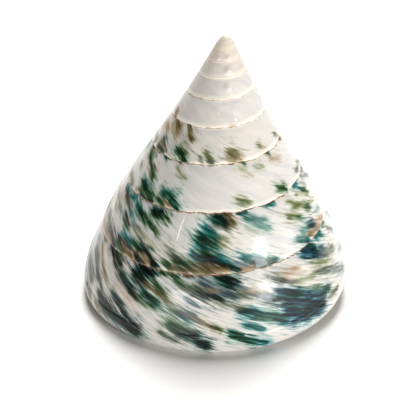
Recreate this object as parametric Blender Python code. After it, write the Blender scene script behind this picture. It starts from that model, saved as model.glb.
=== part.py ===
"""A polished top shell: one coiled shell with a real mouth and a hollow last whorl.

The shell is first worked out about its own axis, with the tip at depth zero and depth growing downward.
Turns are counted along the spiral and bearings run clockwise seen from above, from +Y.
It is then leaned onto the ground as it rests. Metres, +Z up.
"""
import math

import bmesh
import bpy
import numpy as np
from mathutils import Matrix

MM = 0.001

# Growth of the spiral
GROWTH_PER_TURN = 1.3075
SPIRAL_SCALE = 2.834 * MM
FRONT_TURN = 9.995
FRONT_BEARING = math.pi
EVEN_DESCENT_FROM = 0.3
EVEN_DESCENT = 10.05 * MM
SIZE_LAG_TURNS = 0.5
FIRST_TURN_SPAN = 8.75

# Outline of the cone that carries the sutures
CONE_DEPTHS = np.array([0.0, 2.0, 5.0, 10.0, 15.0, 20.0, 25.0, 30.0, 35.0, 40.0, 45.0, 50.0, 55.0]) * MM
CONE_RADII = np.array([0.0, 1.22, 2.8, 5.45, 8.25, 11.22, 14.3, 17.31, 20.05, 22.64, 24.69, 26.69, 28.05]) * MM
AXIS_DRIFT = 0.72 * MM
DRIFT_FROM_DEPTH = 22.0 * MM
DRIFT_FULL_DEPTH = 51.0 * MM
SUTURE_INSET = 0.3 * MM
SUTURE_SHARE = 0.25
SLOPE_STEP = 0.1 * MM

# Rim of the last whorl, where the wall rounds into the base
RIM_LEAD = 0.3 * MM
RIM_TUCK = 1.36 * MM
RIM_INSET = 0.44 * MM
RIM_DROP = 3.65 * MM

# Base and the pillar in its centre
SWELL_TURNS = np.array([-0.6, -0.45, -0.3, -0.15, 0.0, 0.2, 0.42])
SWELL_DROPS = np.array([1.4, 2.0, 4.6, 4.0, 2.1, 0.7, -0.7]) * MM
BASE_LEAD = 6.0 * MM
BASE_TUCK = 3.5 * MM
PILLAR_RADIUS = 4.3 * MM
FUNNEL_RINGS = ((0.72, 0.0), (0.45, 0.35), (0.2, 0.75))
FUNNEL_DEPTH = 47.0 * MM

# Mouth and wall
MOUTH_PAST_FRONT = 0.55
CAVITY_TURNS = 2.1
WALL = 1.4 * MM
LIP_ROUNDING = 0.45 * MM
TIP_RISE = 0.4 * MM

# How the shell sits on the ground
LEAN_RIGHT = math.radians(2.9)
LEAN_FORWARD = math.radians(4.6)
GROUND_DEPTH = 54.4 * MM

# Mesh divisions
COLUMNS_PER_TURN = 40
LEAN_COLUMNS = 5
WALL_ROWS = 4
RIM_STATIONS = (0.35, 0.6, 0.8, 0.9, 1.0)
JOIN_STATION = 3
BASE_ROWS = 6
PILLAR_ROWS = 3
RIM_LEAN_TURNS = 0.015

# Finish
PEARL_COLOUR = (0.80, 0.79, 0.74, 1.0)
PEARL_ROUGHNESS = 0.25
PEARL_COAT = 0.6

WALL_LEAN_TURNS = LEAN_COLUMNS / COLUMNS_PER_TURN
WELD_STEP = COLUMNS_PER_TURN - LEAN_COLUMNS
MOUTH_TURN = FRONT_TURN + MOUTH_PAST_FRONT
LAST_COLUMN = round(FIRST_TURN_SPAN * COLUMNS_PER_TURN)
JOIN_ROW = WALL_ROWS + 1 + JOIN_STATION
RIM_LAST_ROW = WALL_ROWS + len(RIM_STATIONS)
LAST_ROW = RIM_LAST_ROW + BASE_ROWS
MOUTH_WELD_COLUMN = LAST_COLUMN - WELD_STEP
INNER_FIRST_COLUMN = LAST_COLUMN - round(CAVITY_TURNS * COLUMNS_PER_TURN)
CEILING_FIRST_COLUMN = INNER_FIRST_COLUMN - WELD_STEP
INNER_FIRST_ROW = 2


def clear_scene():
    """Remove the objects and collections that a new file starts with."""
    for item in list(bpy.data.objects):
        bpy.data.objects.remove(item, do_unlink=True)
    for group in list(bpy.data.collections):
        bpy.data.collections.remove(group)


def column_turn(column):
    """Turn at which a column of the growth grid leaves its suture."""
    return MOUTH_TURN - (LAST_COLUMN - column) / COLUMNS_PER_TURN


def suture_depth(turn):
    """Depth of the suture: a growing spiral that ends in an even descent."""
    even_from = FRONT_TURN + EVEN_DESCENT_FROM
    grown = SPIRAL_SCALE * (GROWTH_PER_TURN ** min(turn, even_from) - 1.0)
    return grown + EVEN_DESCENT * max(0.0, turn - even_from)


def smooth_curve(stations, values, at):
    """Value of a smooth curve through stations, held level past the first."""
    slopes = np.gradient(values, stations)
    at = max(at, stations[0])
    place_in = int(np.clip(np.searchsorted(stations, at) - 1, 0, len(stations) - 2))
    span = stations[place_in + 1] - stations[place_in]
    x = (at - stations[place_in]) / span
    start = (1 + 2 * x) * (1 - x) ** 2 * values[place_in] + x * (1 - x) ** 2 * span * slopes[place_in]
    end = x * x * (3 - 2 * x) * values[place_in + 1] - x * x * (1 - x) * span * slopes[place_in + 1]
    return start + end


def cone_radius(depth):
    """Radius of the cone at a depth."""
    return smooth_curve(CONE_DEPTHS, CONE_RADII, depth)


def cone_slope(depth):
    """Gain in radius per unit of depth."""
    wider, narrower = cone_radius(depth + SLOPE_STEP), cone_radius(depth - SLOPE_STEP)
    return (wider - narrower) / (2 * SLOPE_STEP)


def size_at(turn):
    """Size of a section against the last whorl, which keeps one size."""
    return min(1.0, GROWTH_PER_TURN ** (turn - FRONT_TURN + SIZE_LAG_TURNS))


def bezier(points, share):
    """Point on the cubic curve with four control points."""
    rest = 1.0 - share
    weights = (rest ** 3, 3 * share * rest ** 2, 3 * share ** 2 * rest, share ** 3)
    return sum(weight * np.array(point) for weight, point in zip(weights, points))


def rim_point(turn, share):
    """Radius and depth on the rounding between wall and base."""
    size = size_at(turn)
    depth = suture_depth(turn + 1.0)
    radius = cone_radius(depth)
    slope = cone_slope(depth)
    end = (radius - size * RIM_INSET, depth + size * RIM_DROP)
    lead = (radius + slope * size * RIM_LEAD, depth + size * RIM_LEAD)
    tuck = (end[0] + size * RIM_TUCK, end[1])
    return bezier(((radius, depth), lead, tuck, end), share)


def base_swell(turn):
    """How far the base hangs below its edge near the pillar."""
    return size_at(turn) * smooth_curve(SWELL_TURNS, SWELL_DROPS, turn - FRONT_TURN)


def base_point(turn, share):
    """Radius and depth on the base, from the rim in to the pillar."""
    size = size_at(turn)
    edge = rim_point(turn, 1.0)
    foot = (size * PILLAR_RADIUS, edge[1] + base_swell(turn))
    lead = (edge[0] - size * BASE_LEAD, edge[1])
    tuck = (foot[0] + size * BASE_TUCK, foot[1])
    return bezier((edge, lead, tuck, foot), share)


def section_point(column, row):
    """Turn, radius and depth of a point of the outer surface."""
    start = column_turn(column)
    if row <= WALL_ROWS:
        share = row / WALL_ROWS
        turn = start - WALL_LEAN_TURNS * share
        depth = (1 - share) * suture_depth(turn) + share * suture_depth(turn + 1.0)
        inset = SUTURE_INSET * size_at(turn) * max(0.0, 1.0 - share / SUTURE_SHARE)
        return turn, cone_radius(depth) - inset, depth
    if row <= RIM_LAST_ROW:
        share = RIM_STATIONS[row - WALL_ROWS - 1]
        turn = start - WALL_LEAN_TURNS - RIM_LEAN_TURNS * share
        radius, depth = rim_point(turn, share)
        return turn, radius, depth
    share = (row - RIM_LAST_ROW) / BASE_ROWS
    turn = start - WALL_LEAN_TURNS - RIM_LEAN_TURNS
    radius, depth = base_point(turn, share)
    return turn, radius, depth


def inner_point(column, row):
    """Turn, radius and depth one wall thickness inside the outer surface."""
    turn, radius, depth = section_point(column, row)
    before = section_point(column, row - 1)
    after = section_point(column, min(row + 1, LAST_ROW))
    across = np.array([after[1] - before[1], after[2] - before[2]])
    across *= WALL * size_at(turn) / np.linalg.norm(across)
    return turn, radius - across[1], depth + across[0]


def place(turn, radius, depth):
    """Position about the shell's own axis."""
    bearing = FRONT_BEARING + 2 * math.pi * (turn - FRONT_TURN)
    share = max(0.0, depth - DRIFT_FROM_DEPTH) / (DRIFT_FULL_DEPTH - DRIFT_FROM_DEPTH)
    drift = AXIS_DRIFT * share * share
    return (radius * math.sin(bearing) + drift, radius * math.cos(bearing), -depth)


class ShellGrid:
    """Collects the points and faces of the shell, with every seam shared."""

    def __init__(self):
        self.points = []
        self.faces = []
        self.index = {}

    def add(self, key, position):
        """Index of the point with this key, made on first use."""
        if key not in self.index:
            self.index[key] = len(self.points)
            self.points.append(position)
        return self.index[key]

    def outer(self, column, row):
        """Point of the outer surface; a wall's foot is the next turn's suture."""
        if row == WALL_ROWS and column + WELD_STEP <= LAST_COLUMN:
            return self.outer(column + WELD_STEP, 0)
        return self.add(("outer", column, row), place(*section_point(column, row)))

    def inner(self, column, row):
        """Point of the inner wall, which starts on the turn above."""
        if row <= 1:
            return self.outer(column - WELD_STEP, JOIN_ROW)
        return self.add(("inner", column, row), place(*inner_point(column, row)))

    def pillar(self, column, row):
        """Point of the pillar's wall, from the ceiling down to the floor."""
        if row == 0:
            return self.outer(column - WELD_STEP, LAST_ROW)
        if row == PILLAR_ROWS:
            return self.inner(column, LAST_ROW)
        share = row / PILLAR_ROWS
        top = np.array(section_point(column - WELD_STEP, LAST_ROW)) + np.array([1.0, 0.0, 0.0])
        foot = np.array(inner_point(column, LAST_ROW))
        return self.add(("pillar", column, row), place(*((1 - share) * top + share * foot)))

    def quad(self, corners):
        """Add one face, leaving out a corner that is there twice."""
        kept = [corner for place_in, corner in enumerate(corners) if corner != corners[place_in - 1]]
        if len(kept) > 2:
            self.faces.append(kept)

    def patch(self, point, columns, rows):
        """Faces between neighbouring columns and rows of one surface."""
        for column in range(columns[0], columns[1]):
            for row in range(rows[0], rows[1]):
                self.quad([point(column, row), point(column + 1, row),
                           point(column + 1, row + 1), point(column, row + 1)])

    def fan(self, loop, position, key):
        """Close a loop with a point in its middle."""
        middle = self.add(key, position)
        for first, second in zip(loop, loop[1:] + loop[:1]):
            self.faces.append([first, second, middle])


def add_tip(grid):
    """Round off the first turn with a low cap."""
    loop = [grid.outer(column, 0) for column in range(WELD_STEP + 1)]
    loop += [grid.outer(0, row) for row in range(WALL_ROWS - 1, 0, -1)]
    top = max(grid.points[index][2] for index in loop)
    grid.fan(loop, (0.0, 0.0, top + TIP_RISE), "tip")


def add_lip(grid):
    """Join the outer and inner walls along the mouth with a rounded edge."""
    ahead = LIP_ROUNDING / np.linalg.norm(place(*section_point(LAST_COLUMN, WALL_ROWS))[:2])
    rows = range(1, LAST_ROW + 1)
    for row in rows:
        outside = np.array(section_point(LAST_COLUMN, row))
        turn, radius, depth = (outside + inner_point(LAST_COLUMN, row)) / 2
        grid.add(("lip", row), place(turn + ahead / (2 * math.pi), radius, depth))
    for row in range(1, LAST_ROW):
        edge = [grid.index[("lip", row)], grid.index[("lip", row + 1)]]
        grid.quad([grid.outer(LAST_COLUMN, row), edge[0], edge[1], grid.outer(LAST_COLUMN, row + 1)])
        grid.quad([edge[0], grid.inner(LAST_COLUMN, row), grid.inner(LAST_COLUMN, row + 1), edge[1]])
    first = grid.index[("lip", 1)]
    corner = [grid.outer(MOUTH_WELD_COLUMN, row) for row in range(WALL_ROWS, JOIN_ROW + 1)]
    grid.faces.append([grid.outer(LAST_COLUMN, 1), corner[0], first])
    for upper, lower in zip(corner, corner[1:]):
        grid.faces.append([upper, lower, first])


def add_funnel(grid):
    """Close the middle of the base with a hollow that winds down into the pillar."""
    loop = [grid.outer(column, LAST_ROW) for column in range(MOUTH_WELD_COLUMN, LAST_COLUMN + 1)]
    loop.append(grid.index[("lip", LAST_ROW)])
    loop += [grid.pillar(LAST_COLUMN, row) for row in range(PILLAR_ROWS, 0, -1)]
    outside = np.array([grid.points[index] for index in loop])
    middle = place(FRONT_TURN, 0.0, FUNNEL_DEPTH)
    centre = np.array([middle[0], middle[1], 0.0])
    for ring, (reach, rise) in enumerate(FUNNEL_RINGS):
        inside = centre + (outside - centre) * np.array([reach, reach, 1.0])
        inside[:, 2] = (1 - rise) * outside[:, 2] + rise * middle[2]
        next_loop = [grid.add(("funnel", ring, index), tuple(point)) for index, point in enumerate(inside)]
        for index in range(len(loop)):
            following = (index + 1) % len(loop)
            grid.quad([loop[index], loop[following], next_loop[following], next_loop[index]])
        loop = next_loop
    grid.fan(loop, middle, "funnel")


def add_inner_end(grid):
    """Close the hollow deep inside the shell."""
    column = INNER_FIRST_COLUMN
    loop = [grid.outer(column - WELD_STEP, row) for row in range(JOIN_ROW, LAST_ROW + 1)]
    loop += [grid.pillar(column, row) for row in range(1, PILLAR_ROWS + 1)]
    loop += [grid.inner(column, row) for row in range(LAST_ROW - 1, INNER_FIRST_ROW - 1, -1)]
    centre = np.mean([grid.points[index] for index in loop], axis=0)
    grid.fan(loop, tuple(centre), "inner end")


def build_grid():
    """All surfaces of the shell as one closed grid."""
    grid = ShellGrid()
    grid.patch(grid.outer, (0, LAST_COLUMN), (0, WALL_ROWS))
    grid.patch(grid.outer, (MOUTH_WELD_COLUMN, LAST_COLUMN), (WALL_ROWS, JOIN_ROW))
    grid.patch(grid.outer, (CEILING_FIRST_COLUMN, LAST_COLUMN), (JOIN_ROW, LAST_ROW))
    grid.patch(grid.inner, (INNER_FIRST_COLUMN, LAST_COLUMN), (1, LAST_ROW))
    grid.patch(grid.pillar, (INNER_FIRST_COLUMN, LAST_COLUMN), (0, PILLAR_ROWS))
    add_tip(grid)
    add_lip(grid)
    add_funnel(grid)
    add_inner_end(grid)
    return grid


def make_shell(collection):
    """Turn the grid into the shell's mesh, lean it and wear its base flat on the ground."""
    grid = build_grid()
    mesh = bpy.data.meshes.new("shell")
    mesh.from_pydata([tuple(point) for point in grid.points], [], grid.faces)
    lean = Matrix.Rotation(LEAN_FORWARD, 4, "X") @ Matrix.Rotation(LEAN_RIGHT, 4, "Y")
    mesh.transform(Matrix.Translation((0.0, 0.0, GROUND_DEPTH)) @ lean)
    for vertex in mesh.vertices:
        vertex.co.z = max(vertex.co.z, 0.0)
    spans = [[getattr(vertex.co, axis) for vertex in mesh.vertices] for axis in "xy"]
    middle = [-(min(span) + max(span)) / 2 for span in spans]
    mesh.transform(Matrix.Translation((*middle, 0.0)))
    work = bmesh.new()
    work.from_mesh(mesh)
    bmesh.ops.triangulate(work, faces=work.faces)
    bmesh.ops.recalc_face_normals(work, faces=work.faces)
    work.to_mesh(mesh)
    work.free()
    mesh.shade_smooth()
    mesh.materials.append(pearl())
    shell = bpy.data.objects.new("shell", mesh)
    collection.objects.link(shell)
    return shell


def pearl():
    """Polished pearly shell."""
    material = bpy.data.materials.new("polished_shell")
    material.use_nodes = True
    surface = material.node_tree.nodes["Principled BSDF"]
    surface.inputs["Base Color"].default_value = PEARL_COLOUR
    surface.inputs["Roughness"].default_value = PEARL_ROUGHNESS
    surface.inputs["Coat Weight"].default_value = PEARL_COAT
    return material


def main():
    """Build the shell in its own collection."""
    clear_scene()
    collection = bpy.data.collections.new("top_shell")
    bpy.context.scene.collection.children.link(collection)
    make_shell(collection)


main()
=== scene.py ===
"""A polished top shell standing on a pale studio floor.

The shell is one coiled surface. A point of it has a turn, counted along the spiral from the tip, and a
share, which grows from 0 at the suture above it to 1 at the suture below and goes on over the rim and the
base. Whorls are counted up from the last one, which is 0.
Bearings run clockwise seen from above, from +Y, in degrees: 180 is the front, 90 the right side.
Lengths are metres, and +Z is up.
"""
import logging
import math
from dataclasses import dataclass
from enum import Enum

import bmesh
import bpy
import numpy as np
from mathutils import Matrix, Vector

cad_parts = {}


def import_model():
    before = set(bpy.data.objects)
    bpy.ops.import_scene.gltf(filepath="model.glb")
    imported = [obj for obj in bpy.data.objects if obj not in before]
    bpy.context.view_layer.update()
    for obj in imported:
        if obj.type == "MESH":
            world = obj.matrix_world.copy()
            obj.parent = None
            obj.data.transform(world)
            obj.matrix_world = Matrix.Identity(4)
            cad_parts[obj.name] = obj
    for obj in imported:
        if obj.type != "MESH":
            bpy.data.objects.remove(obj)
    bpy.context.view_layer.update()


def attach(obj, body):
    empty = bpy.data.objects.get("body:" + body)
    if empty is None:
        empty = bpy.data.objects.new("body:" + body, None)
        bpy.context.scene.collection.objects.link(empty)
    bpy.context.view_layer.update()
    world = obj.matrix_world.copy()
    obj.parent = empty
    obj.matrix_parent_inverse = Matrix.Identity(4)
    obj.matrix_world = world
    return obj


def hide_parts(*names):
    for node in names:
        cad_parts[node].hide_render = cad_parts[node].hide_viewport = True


LOG = logging.getLogger("top_shell")
MM = 0.001
Array = np.ndarray
Span = tuple[float, float]
Socket = bpy.types.NodeSocket
Value = Socket | float | tuple[float, ...]


def srgb(red: float, green: float, blue: float) -> tuple[float, float, float, float]:
    """Linear colour of an 8-bit display colour: the display curve undone on each channel.

    Args:
        red: Red from 0 to 255.
        green: Green from 0 to 255.
        blue: Blue from 0 to 255.

    Returns:
        Linear red, green and blue, and full opacity.
    """
    shown = np.array([red, green, blue]) / 255.0
    linear = np.where(shown <= 0.04045, shown / 12.92, ((shown + 0.055) / 1.055) ** 2.4)
    return (*linear.tolist(), 1.0)


def smoothstep(low: float, high: float, value: Array) -> Array:
    """Rise from 0 at low to 1 at high, with level ends: 3x^2 - 2x^3 of the share x between them."""
    share = np.clip((value - low) / (high - low), 0.0, 1.0)
    return share * share * (3.0 - 2.0 * share)


def smooth_curve(stations: Array, values: Array, at: Array) -> Array:
    """Smooth curve through stations: cubic pieces whose slopes are the central differences.

    Args:
        stations: Places of the known values, rising.
        values: The known values.
        at: Places to read; those before the first station read the first value.

    Returns:
        The curve's values.
    """
    slopes = np.gradient(values, stations)
    at = np.maximum(at, stations[0])
    cell = np.clip(np.searchsorted(stations, at) - 1, 0, len(stations) - 2)
    span = stations[cell + 1] - stations[cell]
    x = (at - stations[cell]) / span
    start = (1 + 2 * x) * (1 - x) ** 2 * values[cell] + x * (1 - x) ** 2 * span * slopes[cell]
    end = x * x * (3 - 2 * x) * values[cell + 1] - x * x * (1 - x) * span * slopes[cell + 1]
    return start + end


def bezier(controls: tuple[tuple[Array, Array], ...], share: Array) -> tuple[Array, Array]:
    """Cubic curve with four control points, weighted by the Bernstein polynomials of the share.

    Args:
        controls: Four pairs of radius and depth.
        share: Share of the way along, from 0 to 1.

    Returns:
        Radius and depth.
    """
    rest = 1.0 - share
    weights = (rest ** 3, 3 * share * rest ** 2, 3 * share ** 2 * rest, share ** 3)
    radius = sum(weight * control[0] for weight, control in zip(weights, controls))
    depth = sum(weight * control[1] for weight, control in zip(weights, controls))
    return radius, depth


@dataclass(frozen=True)
class Growth:
    """The spiral that the shell grew along, and the outline of its whorls."""

    per_turn: float = 1.3075
    scale: float = 2.834 * MM
    front_turn: float = 9.995
    even_from: float = 0.3
    size_lag: float = 0.5
    slope_step: float = 0.1 * MM
    even_descent: float = 10.05 * MM
    cone_depths: tuple[float, ...] = (0, 2, 5, 10, 15, 20, 25, 30, 35, 40, 45, 50, 55)
    cone_radii: tuple[float, ...] = (0, 1.22, 2.8, 5.45, 8.25, 11.22, 14.3, 17.31, 20.05, 22.64, 24.69,
                                     26.69, 28.05)
    drift: float = 0.72 * MM
    drift_from: float = 22.0 * MM
    drift_full: float = 51.0 * MM
    lean_turns: float = 0.125
    rim_lean_turns: float = 0.015
    rim_lead: float = 0.3 * MM
    rim_tuck: float = 1.36 * MM
    rim_inset: float = 0.44 * MM
    rim_drop: float = 3.65 * MM
    base_lead: float = 6.0 * MM
    base_tuck: float = 3.5 * MM
    pillar_radius: float = 4.3 * MM
    swell_turns: tuple[float, ...] = (-0.6, -0.45, -0.3, -0.15, 0.0, 0.2, 0.42)
    swell_drops: tuple[float, ...] = (1.4, 2.0, 4.6, 4.0, 2.1, 0.7, -0.7)

    def suture_depth(self, turn: Array) -> Array:
        """Depth of the suture: scale times (growth to the power of the turn, less 1), then an even descent.

        Args:
            turn: Turn along the spiral.

        Returns:
            Depth below the tip.
        """
        even_from = self.front_turn + self.even_from
        grown = self.scale * (self.per_turn ** np.minimum(turn, even_from) - 1.0)
        return grown + self.even_descent * np.maximum(0.0, turn - even_from)

    def size_at(self, turn: Array) -> Array:
        """Size of a section: growth to the power of the turns past the front one, plus a lag, at most 1."""
        return np.minimum(1.0, self.per_turn ** (turn - self.front_turn + self.size_lag))

    def turn_at(self, whorl: int, bearing: float) -> float:
        """Turn at a bearing on a whorl: the front turn, less the whorls, plus the bearing past the front."""
        return self.front_turn - whorl + (bearing - 180.0) / 360.0

    def cone_radius(self, depth: Array) -> Array:
        """Radius of the cone: a smooth curve through its stations."""
        return smooth_curve(np.array(self.cone_depths) * MM, np.array(self.cone_radii) * MM, depth)

    def cone_slope(self, depth: Array) -> Array:
        """Gain in radius per unit of depth, from a central difference."""
        step = self.slope_step
        return (self.cone_radius(depth + step) - self.cone_radius(depth - step)) / (2 * step)

    def rim(self, turn: Array, share: Array) -> tuple[Array, Array]:
        """Radius and depth on the rim: a cubic curve from the wall's foot round to the base.

        Args:
            turn: Turn along the spiral.
            share: Share of the way round the rim.

        Returns:
            Radius and depth.
        """
        size = self.size_at(turn)
        depth = self.suture_depth(turn + 1.0)
        radius = self.cone_radius(depth)
        end = (radius - size * self.rim_inset, depth + size * self.rim_drop)
        lead = (radius + self.cone_slope(depth) * size * self.rim_lead, depth + size * self.rim_lead)
        tuck = (end[0] + size * self.rim_tuck, end[1])
        return bezier(((radius, depth), lead, tuck, end), share)

    def base(self, turn: Array, share: Array) -> tuple[Array, Array]:
        """Radius and depth on the base: a cubic curve from the rim in to the pillar, hanging by the swell.

        Args:
            turn: Turn along the spiral.
            share: Share of the way in from the rim.

        Returns:
            Radius and depth.
        """
        size = self.size_at(turn)
        edge = self.rim(turn, np.ones_like(turn))
        swell = smooth_curve(np.array(self.swell_turns), np.array(self.swell_drops) * MM,
                             turn - self.front_turn)
        foot = (size * self.pillar_radius, edge[1] + size * swell)
        lead = (edge[0] - size * self.base_lead, edge[1])
        tuck = (foot[0] + size * self.base_tuck, foot[1])
        return bezier((edge, lead, tuck, foot), share)

    def place(self, turn: Array, radius: Array, depth: Array) -> Array:
        """Position about the shell's own axis.

        The bearing is half a turn at the front turn and a full turn more for each turn after it. The
        position is radius times its sine and cosine, less the depth in height, and the axis drifts to the
        right by the square of the depth past the place where the drift starts.

        Args:
            turn: Turn along the spiral.
            radius: Distance from the axis.
            depth: Distance below the tip.

        Returns:
            Positions, with x, y and z last.
        """
        bearing = math.pi + 2 * math.pi * (turn - self.front_turn)
        share = np.maximum(0.0, depth - self.drift_from) / (self.drift_full - self.drift_from)
        x = radius * np.sin(bearing) + self.drift * share * share
        return np.stack([x, radius * np.cos(bearing), -depth], axis=-1)


@dataclass(frozen=True)
class Stance:
    """How the shell leans on the ground and how far its base is worn flat."""

    lean_right: float = math.radians(2.9)
    lean_forward: float = math.radians(4.6)
    ground_depth: float = 54.4 * MM
    shift: Span = (2.7665 * MM, -3.7911 * MM)

    def matrix(self) -> Matrix:
        """Turn about Y, then X, then lift and shift."""
        lean = Matrix.Rotation(self.lean_forward, 4, "X") @ Matrix.Rotation(self.lean_right, 4, "Y")
        return Matrix.Translation((*self.shift, self.ground_depth)) @ lean

    def set_down(self, points: Array) -> Array:
        """Carry points of the shell's own axis to the ground; what would reach below it is worn flat.

        Args:
            points: Positions, with x, y and z last.

        Returns:
            The positions as the shell stands.
        """
        matrix = np.array(self.matrix())
        moved = points @ matrix[:3, :3].T + matrix[:3, 3]
        moved[..., 2] = np.maximum(moved[..., 2], 0.0)
        return moved


@dataclass(frozen=True)
class Relief:
    """Low forms on the whorls: the stepped and uneven suture, the cord above it, and the waves of growth.

    Overtones are height, speed and lead of the slower waves, and rests are speed and lead. A blister is its
    whorl, bearing, share, radius in mm and rise in mm.
    """

    groove: float = 0.26 * MM
    groove_share: float = 0.2
    groove_power: float = 1.3
    lip_share: float = 0.02
    wave_height: float = 0.13 * MM
    waves_per_turn: float = 17.0
    wave_main: float = 0.6
    wave_bend: float = 1.7
    bend_speed: float = 0.131
    overtones: tuple[tuple[float, float, float], ...] = ((0.5, 0.617, 1.0), (0.45, 0.283, 2.0))
    wave_from: float = 4.2
    wave_grown: float = 5.7
    wave_fading: float = 9.0
    wave_to: float = 9.35
    wave_fall: float = 8.0
    cord_height: float = 0.16 * MM
    cord_at: float = 0.93
    cord_width: float = 0.05
    cord_fading: float = 8.7
    cord_fade: float = 9.2
    knob_height: float = 0.5
    knob_lead: float = 0.03
    bulge: float = 0.16 * MM
    rest_height: float = 0.03 * MM
    rests: tuple[Span, ...] = ((7.3, 0.0), (17.7, 0.7))
    blisters: tuple[tuple[float, ...], ...] = (
        (7, 168, 0.62, 0.5, 0.2), (7, 205, 0.6, 0.4, 0.14), (6, 171, 0.5, 0.75, 0.28),
        (5, 172, 0.42, 0.7, 0.28), (3, 201, 0.9, 0.7, 0.18), (3, 181, 0.9, 0.75, 0.18),
        (4, 164, 0.7, 0.4, 0.16), (4, 187, 0.4, 0.4, 0.14), (2, 201, 0.62, 0.6, 0.14))

    def uneven(self, turn: Array) -> Array:
        """Uneven wave of the turn: sines of three speeds, the fastest bent by a slow one.

        Args:
            turn: Turn along the spiral.

        Returns:
            The wave, from about -1.5 to 1.5.
        """
        phase = 2 * math.pi * self.waves_per_turn * turn
        wave = self.wave_main * np.sin(phase + self.wave_bend * np.sin(self.bend_speed * phase))
        for height, speed, lead in self.overtones:
            wave = wave + height * np.sin(speed * phase + lead)
        return wave

    def wave(self, growth: Growth, turn: Array) -> Array:
        """Rise and fall of the suture, fading in past the early whorls and out on the last.

        Args:
            growth: The spiral.
            turn: Turn along it.

        Returns:
            How much deeper the suture lies: wave height times the root of the size, fade and uneven wave.
        """
        fade = smoothstep(self.wave_from, self.wave_grown, turn)
        fade = fade * (1.0 - smoothstep(self.wave_fading, self.wave_to, turn))
        return self.wave_height * growth.size_at(turn) ** 0.5 * fade * self.uneven(turn)

    def sink(self, growth: Growth, turn: Array, share: Array) -> Array:
        """How far a wall point lies inside the cone: a groove under the suture and a rounded lip above it.

        Args:
            growth: The spiral.
            turn: Turn of each point.
            share: Share across the whorl.

        Returns:
            The groove's depth times the larger of two powers of the share left to the suture.
        """
        size = growth.size_at(turn)
        below = np.maximum(0.0, 1.0 - share / self.groove_share) ** self.groove_power
        above = np.clip((share - (1.0 - self.lip_share)) / self.lip_share, 0.0, 1.0) ** 2
        return self.groove * size * np.maximum(below, above)

    def blistered(self, growth: Growth, turn: Array, share: Array, height: Array) -> Array:
        """Height of the blisters: each a round dome that falls off with the square of the distance.

        Args:
            growth: The spiral.
            turn: Turn of each point.
            share: Share across the whorl.
            height: Height of the whorl's wall.

        Returns:
            The height of the tallest blister at each point.
        """
        raised = np.zeros(np.broadcast(turn, share).shape)
        around = 2 * math.pi * growth.cone_radius(growth.suture_depth(turn + 0.5))
        for whorl, bearing, middle, radius, rise in self.blisters:
            x = (turn - growth.turn_at(whorl, bearing)) * around
            y = (share - middle) * height
            dome = np.clip(1.0 - (x * x + y * y) / (radius * MM) ** 2, 0.0, 1.0)
            raised = np.maximum(raised, rise * MM * dome)
        return raised

    def swell(self, growth: Growth, turn: Array, share: Array) -> Array:
        """How far a wall point stands out: a knobbed cord at the suture, a full middle and rests of growth.

        The cord is a bell curve of the share, knobbed by the uneven wave. The middle is the square of the
        sine of half a turn over the share, and the rests are sines along the spiral times that sine.

        Args:
            growth: The spiral.
            turn: Turn of each point.
            share: Share across the whorl.

        Returns:
            The distance added to the radius.
        """
        size = growth.size_at(turn)
        foot = turn + 1.0
        fade = 1.0 - smoothstep(self.cord_fading, self.cord_fade, foot)
        knobs = self.knob_height * self.uneven(foot + self.knob_lead)
        knobs = 1.0 + knobs * smoothstep(self.wave_from, self.wave_grown, foot)
        bell = np.exp(-((share - self.cord_at) / self.cord_width) ** 2)
        middle = np.sin(math.pi * np.clip(share, 0.0, 1.0))
        column = turn + growth.lean_turns * share
        rests = sum(np.sin(2 * math.pi * speed * column + lead) for speed, lead in self.rests)
        cord = self.cord_height * size * fade * knobs * bell
        return cord + self.bulge * size * middle ** 2 + self.rest_height * size * rests * middle


class Tone(Enum):
    """Colours of the stains in the shell."""

    INK = srgb(12, 36, 32)
    PINE = srgb(16, 66, 50)
    TEAL = srgb(12, 80, 80)
    SEA = srgb(104, 154, 144)
    GREEN = srgb(44, 80, 46)
    LEAF = srgb(112, 126, 80)
    OLIVE = srgb(100, 92, 58)
    OCHRE = srgb(142, 122, 86)
    TAN = srgb(196, 172, 146)
    NAVY = srgb(12, 56, 72)
    SLATE = srgb(92, 118, 126)
    SMOKE = srgb(90, 102, 86)
    SOOT = srgb(44, 50, 42)


@dataclass(frozen=True)
class Streak:
    """One stain: a band along a line on a whorl, with bearings in degrees and its half width in mm."""

    whorl: int
    from_bearing: float
    from_share: float
    to_bearing: float
    to_share: float
    half_width: float
    tone: Tone
    strength: float = 1.0


def streaks(whorl: int, *rows: tuple[float | Tone, ...]) -> list[Streak]:
    """Streaks on one whorl.

    Args:
        whorl: The whorl, counted up from the last.
        rows: The other fields of each streak, in order.

    Returns:
        The streaks.
    """
    return [Streak(whorl, *row) for row in rows]


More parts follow.
